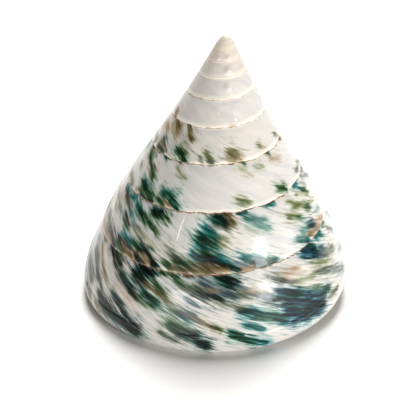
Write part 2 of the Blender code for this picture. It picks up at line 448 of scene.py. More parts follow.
FRONT_STREAKS = [
    *streaks(
        4,
        (255, 0.74, 251, 0.97, 0.5, Tone.OCHRE, 0.8), (197, 0.98, 194, 1.0, 0.2, Tone.OCHRE, 0.6),
        (168, 0.97, 164, 0.99, 0.25, Tone.OCHRE, 0.4),
    ),
    *streaks(
        3,
        (222, 0.02, 217, 0.18, 0.4, Tone.OLIVE, 1.0), (217, 0.18, 212, 0.36, 0.5, Tone.OLIVE, 0.9),
        (246, 0.05, 233, 0.14, 0.5, Tone.OLIVE, 0.7), (244, 0.16, 232, 0.28, 0.9, Tone.OCHRE, 0.6),
        (264, 0.3, 252, 0.32, 0.6, Tone.OCHRE, 0.4), (219, 0.46, 215, 0.52, 0.22, Tone.LEAF, 0.6),
        (248, 0.6, 241, 0.8, 0.6, Tone.SMOKE, 0.9), (250, 0.84, 238, 0.93, 0.5, Tone.SMOKE, 0.9),
        (244, 0.78, 240, 0.84, 0.3, Tone.TAN, 0.5), (270, 0.76, 259, 0.8, 0.5, Tone.SMOKE, 0.5),
        (263, 0.92, 260, 0.9, 0.25, Tone.SMOKE, 0.7), (222, 0.74, 216, 0.8, 0.75, Tone.GREEN, 1.0),
        (217, 0.66, 213, 0.7, 0.3, Tone.LEAF, 0.8), (216, 0.84, 212, 0.94, 0.45, Tone.GREEN, 1.0),
        (194, 0.7, 190, 0.8, 0.45, Tone.LEAF, 0.9), (191, 0.84, 187, 0.93, 0.4, Tone.SMOKE, 1.0),
        (199, 0.8, 196, 0.92, 0.3, Tone.SMOKE, 0.6), (171, 0.72, 166, 0.84, 0.8, Tone.OLIVE, 0.75),
        (168, 0.62, 166, 0.7, 0.35, Tone.LEAF, 0.6), (165, 0.84, 162, 0.95, 0.5, Tone.OCHRE, 0.7),
        (140, 0.68, 138, 0.78, 0.4, Tone.LEAF, 0.7), (137, 0.82, 134, 0.86, 0.3, Tone.TAN, 0.6),
        (112, 0.74, 109, 0.8, 0.35, Tone.SMOKE, 0.6), (110, 0.85, 106, 0.9, 0.3, Tone.TAN, 0.6),
        (108, 0.98, 104, 1.0, 0.2, Tone.SMOKE, 0.8),
    ),
    *streaks(
        2,
        (259, 0.02, 254, 0.16, 0.5, Tone.SMOKE, 0.8), (253, 0.16, 246, 0.24, 0.55, Tone.GREEN, 0.85),
        (246, 0.26, 238, 0.34, 0.45, Tone.SMOKE, 0.9), (240, 0.38, 235, 0.5, 0.5, Tone.GREEN, 0.8),
        (240, 0.48, 237, 0.46, 0.3, Tone.OLIVE, 0.6), (258, 0.44, 254, 0.5, 0.4, Tone.SMOKE, 0.45),
        (265, 0.82, 254, 0.94, 0.7, Tone.SMOKE, 0.65), (262, 0.9, 254, 0.93, 0.4, Tone.TAN, 0.4),
        (240, 0.7, 235, 0.78, 0.8, Tone.PINE, 1.0), (240, 0.82, 229, 0.88, 0.7, Tone.GREEN, 0.9),
        (238, 0.94, 226, 0.96, 0.4, Tone.SOOT, 0.8), (245, 0.92, 242, 0.88, 0.3, Tone.OCHRE, 0.6),
        (219, 0.7, 212, 0.74, 0.7, Tone.PINE, 1.0), (214, 0.8, 207, 0.93, 0.45, Tone.PINE, 1.0),
        (222, 0.84, 217, 0.92, 0.6, Tone.GREEN, 0.8), (216, 0.88, 213, 0.94, 0.35, Tone.OCHRE, 0.7),
        (234, 0.01, 231, 0.04, 0.3, Tone.PINE, 0.9), (218, 0.0, 216, 0.03, 0.2, Tone.OLIVE, 0.8),
        (216, 0.14, 213, 0.22, 0.35, Tone.LEAF, 0.55), (214, 0.26, 207, 0.3, 0.35, Tone.LEAF, 0.45),
        (163, 0.14, 159, 0.2, 0.4, Tone.LEAF, 0.5), (160, 0.25, 155, 0.27, 0.3, Tone.OCHRE, 0.45),
        (150, 0.16, 144, 0.22, 0.4, Tone.LEAF, 0.45), (133, 0.02, 131, 0.08, 0.28, Tone.GREEN, 0.9),
        (132, 0.16, 122, 0.26, 0.5, Tone.TAN, 0.55), (161, 0.01, 159, 0.05, 0.25, Tone.GREEN, 0.6),
        (167, 0.76, 160, 0.87, 0.4, Tone.LEAF, 1.0), (165, 0.82, 162, 0.85, 0.28, Tone.GREEN, 0.9),
        (135, 0.8, 130, 0.86, 0.5, Tone.GREEN, 0.85), (130, 0.73, 128, 0.78, 0.3, Tone.SMOKE, 0.6),
        (130, 0.88, 128, 0.94, 0.3, Tone.GREEN, 0.8), (107, 0.82, 101, 0.86, 0.4, Tone.SMOKE, 0.5),
        (98, 0.78, 91, 0.87, 0.5, Tone.SMOKE, 0.45), (107, 0.01, 102, 0.04, 0.25, Tone.OLIVE, 0.8),
    ),
    *streaks(
        1,
        (222, 0.1, 217, 0.12, 0.7, Tone.INK, 1.0), (218, 0.14, 211, 0.17, 0.5, Tone.GREEN, 0.9),
        (247, 0.1, 242, 0.07, 0.55, Tone.TEAL, 0.95), (259, 0.09, 252, 0.1, 0.6, Tone.TEAL, 0.6),
        (254, 0.12, 243, 0.22, 0.6, Tone.SMOKE, 0.8), (237, 0.14, 230, 0.22, 0.55, Tone.PINE, 0.95),
        (229, 0.25, 221, 0.3, 0.6, Tone.GREEN, 1.0), (220, 0.32, 215, 0.42, 0.4, Tone.GREEN, 0.8),
        (264, 0.2, 252, 0.24, 0.8, Tone.TAN, 0.5), (268, 0.27, 250, 0.37, 0.5, Tone.SMOKE, 0.5),
        (258, 0.44, 252, 0.46, 0.4, Tone.SMOKE, 0.3), (243, 0.38, 237, 0.47, 0.6, Tone.SOOT, 0.75),
        (243, 0.48, 235, 0.56, 0.3, Tone.GREEN, 0.7), (240, 0.28, 233, 0.37, 0.3, Tone.TEAL, 0.45),
        (250, 0.36, 244, 0.4, 0.5, Tone.SLATE, 0.4), (233, 0.42, 222, 0.52, 0.35, Tone.SMOKE, 0.5),
        (228, 0.52, 216, 0.6, 0.3, Tone.LEAF, 0.4), (238, 0.68, 228, 0.74, 0.7, Tone.TEAL, 0.5),
        (228, 0.7, 222, 0.76, 0.5, Tone.GREEN, 0.8), (262, 0.66, 250, 0.79, 0.7, Tone.SMOKE, 0.85),
        (250, 0.8, 240, 0.92, 0.8, Tone.SOOT, 0.8), (264, 0.84, 246, 0.92, 0.8, Tone.OCHRE, 0.7),
        (238, 0.78, 228, 0.82, 0.6, Tone.SOOT, 0.7), (240, 0.88, 232, 0.94, 0.6, Tone.GREEN, 0.8),
        (234, 0.86, 226, 0.93, 0.7, Tone.OCHRE, 0.85), (222, 0.76, 217, 0.79, 0.9, Tone.INK, 1.0),
        (220, 0.84, 215, 0.9, 0.7, Tone.OCHRE, 0.6), (216, 0.82, 211, 0.95, 0.6, Tone.INK, 1.0),
        (224, 0.88, 217, 0.97, 0.6, Tone.SOOT, 0.9), (205, 0.68, 199, 0.76, 0.7, Tone.SMOKE, 0.7),
        (206, 0.84, 203, 0.92, 0.6, Tone.GREEN, 0.8), (201, 0.8, 192, 0.86, 0.8, Tone.GREEN, 0.9),
        (202, 0.93, 194, 0.94, 0.6, Tone.OLIVE, 0.9), (194, 0.88, 184, 0.96, 0.8, Tone.OLIVE, 1.0),
        (188, 0.84, 176, 0.89, 0.7, Tone.OLIVE, 0.85), (182, 0.9, 175, 0.92, 0.4, Tone.OCHRE, 0.8),
        (187, 0.26, 183, 0.31, 0.8, Tone.TEAL, 0.95), (183, 0.24, 178, 0.25, 0.4, Tone.SMOKE, 0.5),
        (190, 0.38, 179, 0.4, 0.7, Tone.PINE, 0.95), (189, 0.46, 181, 0.48, 0.9, Tone.PINE, 1.0),
        (190, 0.5, 186, 0.56, 0.7, Tone.TEAL, 0.95), (179, 0.4, 175, 0.42, 0.4, Tone.LEAF, 0.7),
        (179, 0.48, 176, 0.52, 0.35, Tone.LEAF, 0.7), (188, 0.6, 184, 0.64, 0.5, Tone.GREEN, 0.85),
        (189, 0.69, 181, 0.75, 1.1, Tone.INK, 1.0), (192, 0.68, 188, 0.72, 0.7, Tone.TEAL, 0.9),
        (181, 0.72, 172, 0.86, 0.7, Tone.TEAL, 1.0), (181, 0.78, 169, 0.94, 0.5, Tone.INK, 1.0),
        (180, 0.06, 176, 0.13, 1.1, Tone.INK, 1.0), (183, 0.1, 179, 0.14, 0.5, Tone.PINE, 0.9),
        (175, 0.05, 172, 0.16, 0.7, Tone.OLIVE, 0.9), (170, 0.1, 168, 0.13, 0.3, Tone.TAN, 0.5),
        (168, 0.01, 163, 0.02, 0.4, Tone.TEAL, 1.0), (164, 0.13, 157, 0.2, 0.6, Tone.SEA, 0.9),
        (158, 0.26, 150, 0.38, 0.45, Tone.SEA, 1.0), (157, 0.2, 151, 0.25, 0.5, Tone.SEA, 0.8),
        (163, 0.3, 160, 0.35, 0.22, Tone.LEAF, 0.5), (159, 0.4, 156, 0.42, 0.22, Tone.LEAF, 0.7),
        (168, 0.76, 158, 0.84, 0.5, Tone.TEAL, 0.8), (166, 0.84, 150, 0.97, 0.5, Tone.PINE, 0.95),
        (172, 0.82, 165, 0.9, 0.5, Tone.SLATE, 0.6), (168, 0.92, 162, 0.95, 0.45, Tone.OCHRE, 0.7),
        (162, 0.94, 154, 0.98, 0.3, Tone.TEAL, 0.8), (148, 0.01, 142, 0.02, 0.3, Tone.TEAL, 0.8),
        (132, 0.13, 128, 0.17, 0.4, Tone.LEAF, 0.5), (128, 0.24, 121, 0.33, 0.45, Tone.LEAF, 0.7),
        (134, 0.37, 129, 0.43, 0.6, Tone.LEAF, 0.9), (131, 0.42, 125, 0.5, 0.4, Tone.GREEN, 0.7),
        (121, 0.15, 113, 0.21, 0.3, Tone.LEAF, 0.5), (121, 0.34, 117, 0.42, 0.35, Tone.LEAF, 0.6),
        (118, 0.42, 112, 0.5, 0.55, Tone.GREEN, 0.7), (115, 0.1, 112, 0.18, 0.35, Tone.TEAL, 0.6),
        (113, 0.18, 107, 0.28, 0.45, Tone.GREEN, 0.75), (111, 0.3, 108, 0.34, 0.3, Tone.LEAF, 0.5),
        (111, 0.46, 105, 0.54, 0.35, Tone.LEAF, 0.5), (103, 0.04, 95, 0.16, 0.3, Tone.SMOKE, 0.5),
        (96, 0.16, 87, 0.3, 0.4, Tone.SLATE, 0.6), (98, 0.02, 91, 0.07, 0.4, Tone.SOOT, 0.6),
        (128, 0.72, 121, 0.77, 0.7, Tone.SEA, 0.9), (121, 0.76, 115, 0.83, 0.7, Tone.NAVY, 1.0),
        (133, 0.8, 129, 0.86, 0.6, Tone.SEA, 0.9), (131, 0.86, 125, 0.95, 0.6, Tone.TEAL, 0.8),
        (123, 0.86, 113, 0.95, 0.7, Tone.OCHRE, 0.8), (118, 0.9, 110, 0.97, 0.4, Tone.SMOKE, 0.7),
        (113, 0.86, 103, 0.94, 0.6, Tone.TAN, 0.85), (109, 0.69, 101, 0.77, 0.5, Tone.SEA, 0.5),
        (119, 0.03, 114, 0.04, 0.3, Tone.TEAL, 0.7),
    ),
    *streaks(
        0,
        (243, 0.0, 238, 0.1, 0.5, Tone.SOOT, 0.9), (239, 0.05, 231, 0.15, 0.6, Tone.SOOT, 1.0),
        (237, 0.02, 234, 0.06, 0.5, Tone.GREEN, 0.9), (253, 0.02, 250, 0.04, 0.4, Tone.SMOKE, 0.6),
        (219, 0.06, 212, 0.1, 1.0, Tone.INK, 1.0), (220, 0.16, 215, 0.24, 1.0, Tone.INK, 1.0),
        (215, 0.28, 206, 0.38, 0.3, Tone.OLIVE, 0.9), (209, 0.22, 204, 0.36, 0.5, Tone.GREEN, 0.85),
        (205, 0.38, 198, 0.54, 0.4, Tone.OLIVE, 0.8), (201, 0.54, 195, 0.6, 0.45, Tone.GREEN, 0.9),
        (196, 0.62, 190, 0.67, 0.7, Tone.INK, 1.0), (195, 0.7, 191, 0.74, 0.4, Tone.TEAL, 0.6),
        (190, 0.68, 185, 0.78, 0.4, Tone.OLIVE, 0.9), (186, 0.76, 179, 0.88, 0.35, Tone.OLIVE, 1.0),
        (181, 0.82, 178, 0.9, 0.35, Tone.GREEN, 0.9), (235, 0.22, 230, 0.28, 0.5, Tone.SOOT, 0.6),
        (228, 0.3, 220, 0.46, 0.75, Tone.INK, 0.95), (231, 0.36, 222, 0.5, 0.3, Tone.SMOKE, 0.6),
        (221, 0.48, 215, 0.56, 0.5, Tone.SOOT, 0.8), (213, 0.45, 207, 0.52, 0.8, Tone.PINE, 1.0),
        (219, 0.56, 207, 0.6, 0.45, Tone.GREEN, 0.9), (226, 0.55, 218, 0.66, 0.4, Tone.TAN, 0.5),
        (200, 0.1, 191, 0.22, 0.4, Tone.GREEN, 0.8), (196, 0.2, 184, 0.22, 0.6, Tone.SMOKE, 0.85),
        (190, 0.28, 178, 0.36, 0.75, Tone.INK, 1.0), (184, 0.22, 178, 0.24, 0.4, Tone.OCHRE, 0.6),
        (188, 0.06, 178, 0.22, 0.7, Tone.SLATE, 0.95), (182, 0.22, 171, 0.38, 0.5, Tone.SLATE, 1.0),
        (194, 0.4, 189, 0.46, 0.4, Tone.SLATE, 0.8), (182, 0.4, 176, 0.46, 0.35, Tone.SMOKE, 0.5),
        (180, 0.04, 177, 0.14, 0.9, Tone.PINE, 1.0), (177, 0.08, 172, 0.17, 1.0, Tone.INK, 1.0),
        (172, 0.18, 168, 0.24, 0.4, Tone.SLATE, 0.7), (208, 0.03, 198, 0.04, 0.22, Tone.GREEN, 0.9),
        (196, 0.03, 186, 0.03, 0.2, Tone.SOOT, 0.7), (170, 0.28, 158, 0.4, 0.6, Tone.SMOKE, 0.85),
        (172, 0.36, 162, 0.4, 0.4, Tone.SMOKE, 0.6), (166, 0.3, 160, 0.34, 0.3, Tone.TAN, 0.4),
        (162, 0.4, 156, 0.5, 0.5, Tone.SLATE, 0.8), (159, 0.48, 153, 0.56, 0.6, Tone.INK, 0.9),
        (173, 0.48, 168, 0.57, 0.45, Tone.SMOKE, 0.8), (169, 0.6, 160, 0.72, 0.75, Tone.TEAL, 0.95),
        (164, 0.7, 152, 0.86, 0.7, Tone.PINE, 0.95), (154, 0.84, 151, 0.94, 0.6, Tone.TEAL, 0.9),
        (168, 0.84, 161, 0.96, 0.4, Tone.TEAL, 0.8), (175, 0.92, 170, 1.0, 0.4, Tone.PINE, 0.9),
        (156, 0.17, 149, 0.26, 0.5, Tone.SMOKE, 0.85), (150, 0.27, 142, 0.38, 0.55, Tone.SOOT, 0.8),
        (147, 0.19, 138, 0.26, 0.6, Tone.TAN, 0.7), (146, 0.28, 136, 0.34, 0.4, Tone.TAN, 0.6),
        (152, 0.44, 143, 0.56, 0.7, Tone.NAVY, 1.0), (149, 0.5, 142, 0.62, 0.9, Tone.PINE, 1.0),
        (148, 0.64, 141, 0.78, 0.9, Tone.NAVY, 1.0), (150, 0.66, 145, 0.76, 0.6, Tone.INK, 0.9),
        (149, 0.82, 133, 0.94, 1.3, Tone.NAVY, 1.0), (142, 0.9, 130, 1.0, 1.2, Tone.INK, 0.95),
        (138, 0.7, 126, 0.86, 0.8, Tone.NAVY, 0.95), (133, 0.68, 127, 0.74, 0.4, Tone.GREEN, 0.6),
        (130, 0.82, 123, 0.86, 0.6, Tone.PINE, 0.9), (131, 0.04, 125, 0.12, 1.0, Tone.NAVY, 1.0),
        (126, 0.06, 123, 0.12, 0.6, Tone.PINE, 0.9), (119, 0.03, 113, 0.06, 0.5, Tone.TEAL, 0.8),
        (127, 0.18, 116, 0.32, 0.8, Tone.NAVY, 0.85), (120, 0.28, 108, 0.43, 0.6, Tone.SMOKE, 0.85),
        (140, 0.41, 130, 0.46, 0.5, Tone.LEAF, 0.5), (128, 0.32, 121, 0.4, 0.5, Tone.LEAF, 0.6),
        (130, 0.44, 119, 0.58, 0.6, Tone.SMOKE, 0.75), (126, 0.5, 120, 0.56, 0.4, Tone.SOOT, 0.5),
        (120, 0.44, 113, 0.52, 0.4, Tone.LEAF, 0.6), (107, 0.02, 103, 0.05, 0.35, Tone.GREEN, 0.7),
        (103, 0.18, 98, 0.3, 0.5, Tone.SMOKE, 0.55), (116, 0.64, 110, 0.78, 0.6, Tone.SMOKE, 0.8),
        (112, 0.78, 103, 0.95, 0.7, Tone.SLATE, 0.6), (100, 0.66, 90, 0.84, 0.6, Tone.SLATE, 0.55),
        (92, 0.14, 80, 0.4, 0.7, Tone.SLATE, 0.3), (256, 0.34, 250, 0.44, 0.9, Tone.SOOT, 0.8),
        (250, 0.46, 244, 0.64, 0.65, Tone.SOOT, 0.9), (252, 0.14, 246, 0.3, 0.5, Tone.OCHRE, 0.55),
        (244, 0.38, 236, 0.58, 0.4, Tone.OCHRE, 0.9), (242, 0.64, 236, 0.86, 0.5, Tone.SMOKE, 0.9),
        (238, 0.88, 230, 0.98, 0.9, Tone.SOOT, 1.0), (230, 0.68, 224, 0.8, 0.55, Tone.INK, 0.95),
        (226, 0.8, 222, 0.88, 0.4, Tone.INK, 0.95), (222, 0.9, 216, 1.02, 0.6, Tone.INK, 1.0),
        (259, 0.66, 250, 0.8, 1.2, Tone.SOOT, 0.75), (256, 0.84, 252, 0.94, 0.8, Tone.SLATE, 0.5),
        (261, 0.17, 256, 0.19, 0.6, Tone.SLATE, 0.6), (263, 0.52, 258, 0.58, 0.6, Tone.SLATE, 0.4),
        (199, 0.84, 192, 0.92, 0.9, Tone.GREEN, 0.9), (197, 0.9, 189, 1.0, 1.0, Tone.INK, 1.0),
        (191, 1.0, 184, 1.16, 0.8, Tone.INK, 1.0), (237, 1.0, 228, 1.08, 0.9, Tone.INK, 1.0),
        (228, 1.06, 214, 1.17, 1.0, Tone.INK, 1.0), (218, 1.0, 213, 1.1, 0.5, Tone.SOOT, 0.9),
        (203, 1.02, 196, 1.12, 0.5, Tone.SMOKE, 0.7), (174, 1.0, 164, 1.18, 0.6, Tone.PINE, 1.0),
        (166, 1.14, 160, 1.26, 0.5, Tone.TEAL, 0.9), (146, 1.0, 130, 1.09, 0.8, Tone.NAVY, 1.0),
        (124, 1.0, 116, 1.04, 0.5, Tone.SMOKE, 0.7), (254, 1.08, 247, 1.14, 0.8, Tone.SOOT, 0.7),
        (241, 1.12, 236, 1.2, 0.5, Tone.OLIVE, 0.6),
    ),
]


@dataclass(frozen=True)
class HiddenMarkings:
    """Stains on the sides that face away: rows of blots above and below each suture, and loose streaks."""

    seed: int = 27
    seen_from: float = 86.0
    seen_to: float = 268.0
    first_whorl: int = 3
    last_whorl: int = -1
    lean_degrees: float = 52.0
    rows: tuple[tuple[int, float, float, float], ...] = (
        (3, 0.84, 17.0, 3.0), (2, 0.1, 26.0, 0.0), (1, 0.45, 15.0, 0.0), (1, 0.7, 24.0, 0.0))
    rim_row: Span = (1.1, 17.0)
    dark: tuple[Tone, ...] = (Tone.INK, Tone.PINE, Tone.TEAL, Tone.GREEN, Tone.NAVY, Tone.SOOT)
    light: tuple[Tone, ...] = (Tone.SMOKE, Tone.OLIVE, Tone.LEAF, Tone.SLATE, Tone.SEA, Tone.OCHRE)
    dark_chance: float = 0.62
    shrink: float = 0.33
    newest_size: float = 1.1
    wander: float = 0.08
    reach: Span = (0.05, 0.16)
    width: Span = (0.45, 1.15)
    strength: Span = (0.6, 1.0)
    spacing: Span = (0.6, 1.4)
    tail_chance: float = 0.6
    tail_reach: float = 2.2
    tail_width: float = 0.55
    tail_strength: float = 0.7

    def streaks(self) -> list[Streak]:
        """Draw the hidden streaks, whorl by whorl, from one seeded source.

        A row is the first whorl that has it, its share, the degrees between its streaks, and how many
        degrees more for each whorl up.

        Returns:
            The streaks.
        """
        draw = np.random.default_rng(self.seed)
        found = []
        for whorl in range(self.first_whorl, self.last_whorl - 1, -1):
            for first, share, apart, wider in self.rows:
                if whorl <= first:
                    found += self.row(draw, whorl, share, apart + wider * whorl)
        return found + self.row(draw, 0, *self.rim_row)

    def row(self, draw: np.random.Generator, whorl: int, share: float, apart: float) -> list[Streak]:
        """One row of streaks at about the same share.

        Each streak leans along the line of growth, and some have a thinner, lighter tail below them.

        Args:
            draw: The seeded source.
            whorl: The whorl they lie on.
            share: The share that they wander about.
            apart: Mean degrees from one to the next.

        Returns:
            The row's streaks.
        """
        dark, light = self.dark, self.light
        found = []
        bearing = self.seen_to + draw.uniform(0.0, apart)
        size = 1.0 / (1.0 + self.shrink * whorl) if whorl >= 0 else self.newest_size
        while bearing < self.seen_from + 360.0:
            middle = share + draw.uniform(-self.wander, self.wander)
            reach = draw.uniform(*self.reach)
            width = draw.uniform(*self.width) * size
            tones = dark if draw.random() < self.dark_chance else light
            tone = tones[draw.integers(len(tones))]
            side = self.lean_degrees * reach
            found.append(Streak(whorl, bearing + side, middle - reach, bearing - side, middle + reach, width,
                                tone, draw.uniform(*self.strength)))
            if draw.random() < self.tail_chance:
                found.append(Streak(whorl, bearing - side, middle + reach, bearing - self.tail_reach * side,
                                    middle + self.tail_reach * reach, self.tail_width * width,
                                    light[draw.integers(len(light))], self.tail_strength))
            bearing += apart * draw.uniform(*self.spacing)
        return found


@dataclass
class Stains:
    """Spreads streaks over the shell's points as a depth, a colour and a strength.

    Before and after are the turns past a streak's ends that it still reaches.
    """

    growth: Growth
    found: list[Streak]
    broaden: float = 1.1
    before: float = 0.12
    after: float = 0.32
    sharpness: int = 6
    least_weight: float = 1e-9

    def spread(self, turn: Array, share: Array, radius: Array, height: Array) -> tuple[Array, Array]:
        """Depth and colour of the stain at each point.

        A point's distance from a streak's line is measured on the unrolled whorl. The depth is
        1 / (1 + the square of the distance over the broadened half width), so it is 1 on the line and one
        half at that width, and the deepest streak wins. Colours and strengths are averaged with the sixth
        power of the depth as weight.

        Args:
            turn: Turn of each point.
            share: Share across the whorl.
            radius: Distance from the axis.
            height: Length across the whorl's wall.

        Returns:
            The depth, and red, green, blue and strength.
        """
        depth = np.zeros(turn.shape)
        weight = np.full(turn.shape, self.least_weight)
        colour = np.zeros((*turn.shape, 4))
        columns = turn[:, 0]
        for streak in self.found:
            start = self.growth.turn_at(streak.whorl, streak.from_bearing)
            end = self.growth.turn_at(streak.whorl, streak.to_bearing)
            first, last = min(start, end) - self.before, max(start, end) + self.after
            near = np.flatnonzero((columns > first) & (columns < last))
            if not len(near):
                continue
            cut = slice(near[0], near[-1] + 1)
            found = self.distance(turn[cut], share[cut], radius[cut], height[cut], (start, streak.from_share),
                                  (end, streak.to_share))
            here = 1.0 / (1.0 + (found / (self.broaden * streak.half_width * MM)) ** 2)
            depth[cut] = np.maximum(depth[cut], here)
            share_of = here ** self.sharpness
            weight[cut] += share_of
            colour[cut] += share_of[..., None] * np.array([*streak.tone.value[:3], streak.strength])
        return depth, colour / weight[..., None]

    @staticmethod
    def distance(turn: Array, share: Array, radius: Array, height: Array, start: Span, end: Span) -> Array:
        """Distance of points from a line on the unrolled whorl: to the nearest point between its ends.

        Args:
            turn: Turn of each point.
            share: Share across the whorl.
            radius: Distance from the axis.
            height: Length across the whorl's wall.
            start: Turn and share of one end.
            end: Turn and share of the other end.

        Returns:
            The distances.
        """
        across = 2 * math.pi * radius
        x, y = (turn - start[0]) * across, (share - start[1]) * height
        dx, dy = (end[0] - start[0]) * across, (end[1] - start[1]) * height
        along = np.clip((x * dx + y * dy) / np.maximum(dx * dx + dy * dy, 1e-12), 0.0, 1.0)
        return np.hypot(x - along * dx, y - along * dy)


@dataclass
class Patch:
    """Faces of one part of the surface: the welded vertex and the point with the values of each corner."""

    corners: Array
    values: Array


class PointTable:
    """Points of the shell about its own axis, each with its turn, share, radius, height and depth inside."""

    def __init__(self) -> None:
        """Start empty."""
        self.places: list[Array] = []
        self.values: list[Array] = []
        self.count = 0

    def add(self, places: Array, turn: Array, share: Array, radius: Array, height: Array,
            inside: float) -> Array:
        """Add a grid of points.

        Args:
            places: Positions, with x, y and z last.
            turn: Turn of each point.
            share: Share of each point.
            radius: Distance of each from the axis.
            height: Length of the whorl's wall at each.
            inside: 0 on the outside of the shell, 1 in its hollow.

        Returns:
            The points' numbers, in the grid's shape.
        """
        shape = places.shape[:-1]
        numbers = self.count + np.arange(int(np.prod(shape))).reshape(shape)
        self.places.append(places.reshape(-1, 3))
        parts = [np.broadcast_to(part, shape).reshape(-1) for part in (turn, share, radius, height, inside)]
        self.values.append(np.stack(parts, axis=1))
        self.count += numbers.size
        return numbers


@dataclass
class TopShell:
    """The shell itself: whorls, rim, base, lip, hollow, pillar and funnel in one closed mesh."""

    growth: Growth = Growth()
    stance: Stance = Stance()
    relief: Relief = Relief()
    first_turn_span: float = 8.75
    mouth_past_front: float = 0.55
    cavity_turns: float = 2.1
    wall: float = 1.4 * MM
    lip_rounding: float = 0.45 * MM
    tip_rise: float = 0.4 * MM
    columns_per_turn: int = 280
    lean_columns: int = 35
    wall_shares: tuple[float, ...] = (0.0, 0.008, 0.02, 0.045, 0.09, 0.15, 0.22, 0.3, 0.38, 0.46, 0.54, 0.62,
                                      0.7, 0.77, 0.83, 0.88, 0.92, 0.95, 0.972, 0.988, 0.996, 1.0)
    rim_shares: tuple[float, ...] = (0.13, 0.26, 0.38, 0.5, 0.6, 0.7, 0.8, 0.9, 1.0)
    join_share: float = 0.9
    base_rows: int = 12
    inner_from_share: float = 0.3
    pillar_rows: int = 4
    tip_rings: tuple[Span, ...] = ((0.75, 0.44), (0.5, 0.75), (0.25, 0.94))
    funnel_rings: tuple[Span, ...] = ((0.86, 0.0), (0.72, 0.03), (0.58, 0.15), (0.45, 0.35), (0.32, 0.55),
                                      (0.2, 0.75), (0.1, 0.92))
    funnel_depth: float = 47.0 * MM
    grain_lean: float = 0.15
    grain_lean_to: float = 1.35
    plain_until: Span = (5.2, 6.4)
    arc_stations: int = 800
    hollow_from: float = 0.25
    exposed_margin: float = 0.01
    no_seam: float = 1.0

    def __post_init__(self) -> None:
        """Work out the rows and columns that the sizes give."""
        self.foot_row = len(self.wall_shares) - 1
        self.join_row = self.foot_row + 1 + self.rim_shares.index(self.join_share)
        self.rim_row = self.foot_row + len(self.rim_shares)
        self.last_row = self.rim_row + self.base_rows
        self.inner_row = self.wall_shares.index(self.inner_from_share)
        self.weld_step = self.columns_per_turn - self.lean_columns
        self.last_column = round(self.first_turn_span * self.columns_per_turn)
        self.mouth_weld = self.last_column - self.weld_step
        self.inner_first = self.last_column - round(self.cavity_turns * self.columns_per_turn)
        self.ceiling_first = self.inner_first - self.weld_step
        self.mouth_turn = self.growth.front_turn + self.mouth_past_front

    def section(self, raised: bool) -> tuple[Array, Array, Array]:
        """Turn, radius and depth of every column and row of the outer surface.

        A column leans back along the spiral as it goes down, so it follows a line of growth. On the wall
        the depth runs evenly from the suture above to the suture below, and the radius is the cone's.

        Args:
            raised: Whether the low forms of the relief are on it.

        Returns:
            Three arrays of columns by rows.
        """
        growth, relief = self.growth, self.relief
        columns = np.arange(self.last_column + 1)
        start = (self.mouth_turn - (self.last_column - columns) / self.columns_per_turn)[:, None]
        share = np.array(self.wall_shares)[None, :]
        turn = start - growth.lean_turns * share
        depth = (1 - share) * growth.suture_depth(turn) + share * growth.suture_depth(turn + 1.0)
        if raised:
            above = (1 - share) ** relief.wave_fall * relief.wave(growth, turn)
            below = share ** relief.wave_fall * relief.wave(growth, turn + 1.0)
            depth = depth + above + below
        radius = growth.cone_radius(depth)
        if raised:
            height = growth.suture_depth(turn + 1.0) - growth.suture_depth(turn)
            radius = radius - relief.sink(growth, turn, share) + relief.swell(growth, turn, share)
            radius = radius + relief.blistered(growth, turn, share, height)
        rim_share = np.array(self.rim_shares)[None, :] * np.ones_like(start)
        rim_turn = start - growth.lean_turns - growth.rim_lean_turns * rim_share
        rim_radius, rim_depth = growth.rim(rim_turn, rim_share)
        base_share = np.arange(1, self.base_rows + 1)[None, :] / self.base_rows * np.ones_like(start)
        base_turn = (start - growth.lean_turns - growth.rim_lean_turns) * np.ones_like(base_share)
        base_radius, base_depth = growth.base(base_turn, base_share)
        return (np.hstack([turn, rim_turn, base_turn]), np.hstack([radius, rim_radius, base_radius]),
                np.hstack([depth, rim_depth, base_depth]))

    def shares(self, radius: Array, depth: Array) -> tuple[Array, Array]:
        """Share of every point and the length of its wall.

        On the wall the share is as listed; past its foot it is the length along the section over the
        length of the wall.

        Args:
            radius: Radius of every column and row.
            depth: Depth of every column and row.

        Returns:
            Share, and wall length, of every column and row.
        """
        step = np.hypot(np.diff(radius, axis=1), np.diff(depth, axis=1))
        length = np.hstack([np.zeros((len(radius), 1)), np.cumsum(step, axis=1)])
        height = length[:, self.foot_row][:, None] * np.ones_like(length)
        share = length / height
        share[:, :self.foot_row + 1] = np.array(self.wall_shares)[None, :]
        return share, height

    def inner_section(self, turn: Array, radius: Array, depth: Array) -> tuple[Array, Array]:
        """Radius and depth one wall inside the outer surface, square to its section line.

        Args:
            turn: Turn of every column and row.
            radius: Radius of the outer surface.
            depth: Depth of the outer surface.

        Returns:
            Radius and depth of the hollow's wall.
        """
        across = np.stack([np.gradient(radius, axis=1), np.gradient(depth, axis=1)])
        across = across * self.wall * self.growth.size_at(turn) / np.hypot(*across)
        return radius - across[1], depth + across[0]

